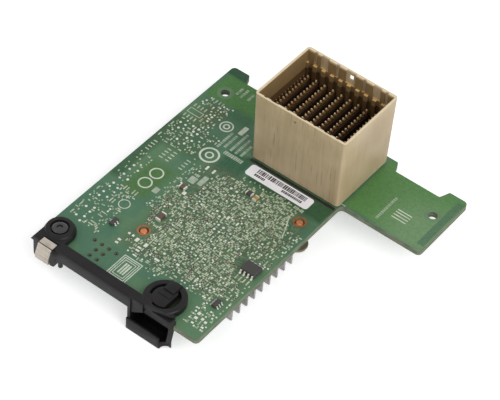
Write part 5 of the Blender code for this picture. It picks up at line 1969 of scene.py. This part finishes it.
@dataclass
class Studio:
    """The floor, the lights and the camera: the eye in card millimetres, all else in metres or degrees."""

    eye: tuple[float, float, float] = (272.9, -294.5, 448.2)
    azimuth: float = 34.54
    elevation: float = 47.08
    roll: float = 4.70
    lens: float = 158.24
    sensor: float = 36.0
    clip: Span = (0.01, 20.0)
    floor_half: float = 3.0
    floor_height: float = -0.0002
    floor_grey: float = 0.86
    floor_glow: float = 0.5
    sky_light: float = 0.50
    sky_seen: float = 1.0

    LAMPS = (
        ("key_light", (0.80, -0.22, 0.70), 0.7, 5.4),
        ("fill_light", (-0.45, -0.70, 0.80), 0.9, 1.8),
    )

    def floor(self) -> None:
        """Lay a pale floor that fades into the white round it."""
        mesh = bpy.data.meshes.new("floor")
        half = self.floor_half
        corners = [(x, y, self.floor_height) for x, y in box_outline(-half, -half, half, half)]
        mesh.from_pydata(corners, [], [(0, 1, 2, 3)])
        floor = bpy.data.objects.new("floor", mesh)
        bpy.context.scene.collection.objects.link(floor)
        recipe = Recipe("floor")
        path = recipe.node("ShaderNodeLightPath").outputs
        seen = recipe.sum("MAXIMUM", path["Is Camera Ray"], path["Is Glossy Ray"])
        recipe.feed(recipe.shader.inputs["Emission Strength"], recipe.sum("MULTIPLY", seen, self.floor_glow))
        grey = self.floor_grey
        mesh.materials.append(recipe.finish((grey, grey, grey), 0.9, Emission_Color=(1.0, 1.0, 1.0, 1.0)))

    def sky(self) -> None:
        """Light the card evenly and show white behind it."""
        world = bpy.data.worlds.new("studio")
        bpy.context.scene.world = world
        world.use_nodes = True
        world.node_tree.nodes.clear()
        sky = Wiring(world.node_tree)
        path = sky.node("ShaderNodeLightPath").outputs
        seen = sky.sum("MAXIMUM", path["Is Camera Ray"], path["Is Transmission Ray"])
        mix = sky.node("ShaderNodeMixShader")
        sky.feed(mix.inputs[0], sky.sum("MAXIMUM", seen, path["Is Glossy Ray"]))
        for index, strength in ((1, self.sky_light), (2, self.sky_seen)):
            light = sky.step("ShaderNodeBackground", Color=(1.0, 1.0, 1.0), Strength=strength)
            sky.feed(mix.inputs[index], light)
        sky.feed(sky.node("ShaderNodeOutputWorld").inputs["Surface"], mix.outputs[0])

    def lamp(self, name: str, place: tuple[float, float, float], size: float, power: float) -> None:
        """Hang one square soft light that faces the card.

        Args:
            name: The light's name.
            place: Where it hangs, in metres.
            size: The length of its side.
            power: Its power in watts.
        """
        light = bpy.data.lights.new(name, "AREA")
        light.shape = "SQUARE"
        light.size = size
        light.energy = power
        lamp = bpy.data.objects.new(name, light)
        lamp.location = place
        lamp.rotation_euler = (-Vector(place)).to_track_quat("-Z", "Y").to_euler()
        bpy.context.scene.collection.objects.link(lamp)

    def camera(self) -> None:
        """Set the camera as the photograph's perspective gives it."""
        azimuth, elevation, roll = (math.radians(value) for value in (self.azimuth, self.elevation, self.roll))
        back = Vector((math.sin(azimuth) * math.cos(elevation), -math.cos(azimuth) * math.cos(elevation),
                       math.sin(elevation)))
        level = Vector((math.cos(azimuth), math.sin(azimuth), 0.0))
        upright = back.cross(level)
        right = level * math.cos(roll) + upright * math.sin(roll)
        up = upright * math.cos(roll) - level * math.sin(roll)
        data = bpy.data.cameras.new("camera")
        data.lens = self.lens
        data.sensor_width = self.sensor
        data.clip_start, data.clip_end = self.clip
        camera = bpy.data.objects.new("camera", data)
        turn = Matrix((right, up, back)).transposed().to_4x4()
        camera.matrix_world = Matrix.Translation(CARD.place(*self.eye)) @ turn
        bpy.context.scene.collection.objects.link(camera)
        bpy.context.scene.camera = camera

    def build(self) -> None:
        """Set up the whole studio."""
        self.floor()
        self.sky()
        for lamp in self.LAMPS:
            self.lamp(*lamp)
        self.camera()
        bpy.context.scene.view_settings.view_transform = "Standard"


def main() -> None:
    """Build the card's pieces in order, then the studio."""
    logging.basicConfig(level=logging.INFO, format="%(name)s %(message)s")
    copier = Copier()
    Board().build()
    top = BoardTop(copier)
    top.build()
    Underside(copier, top).build()
    SurfaceChips().build(top.solder)
    Label().build()
    PlugConnector(copier).build()
    CoolingParts().build()
    EdgeBracket().build()
    Studio().build()


if __name__ == "__main__":
    main()
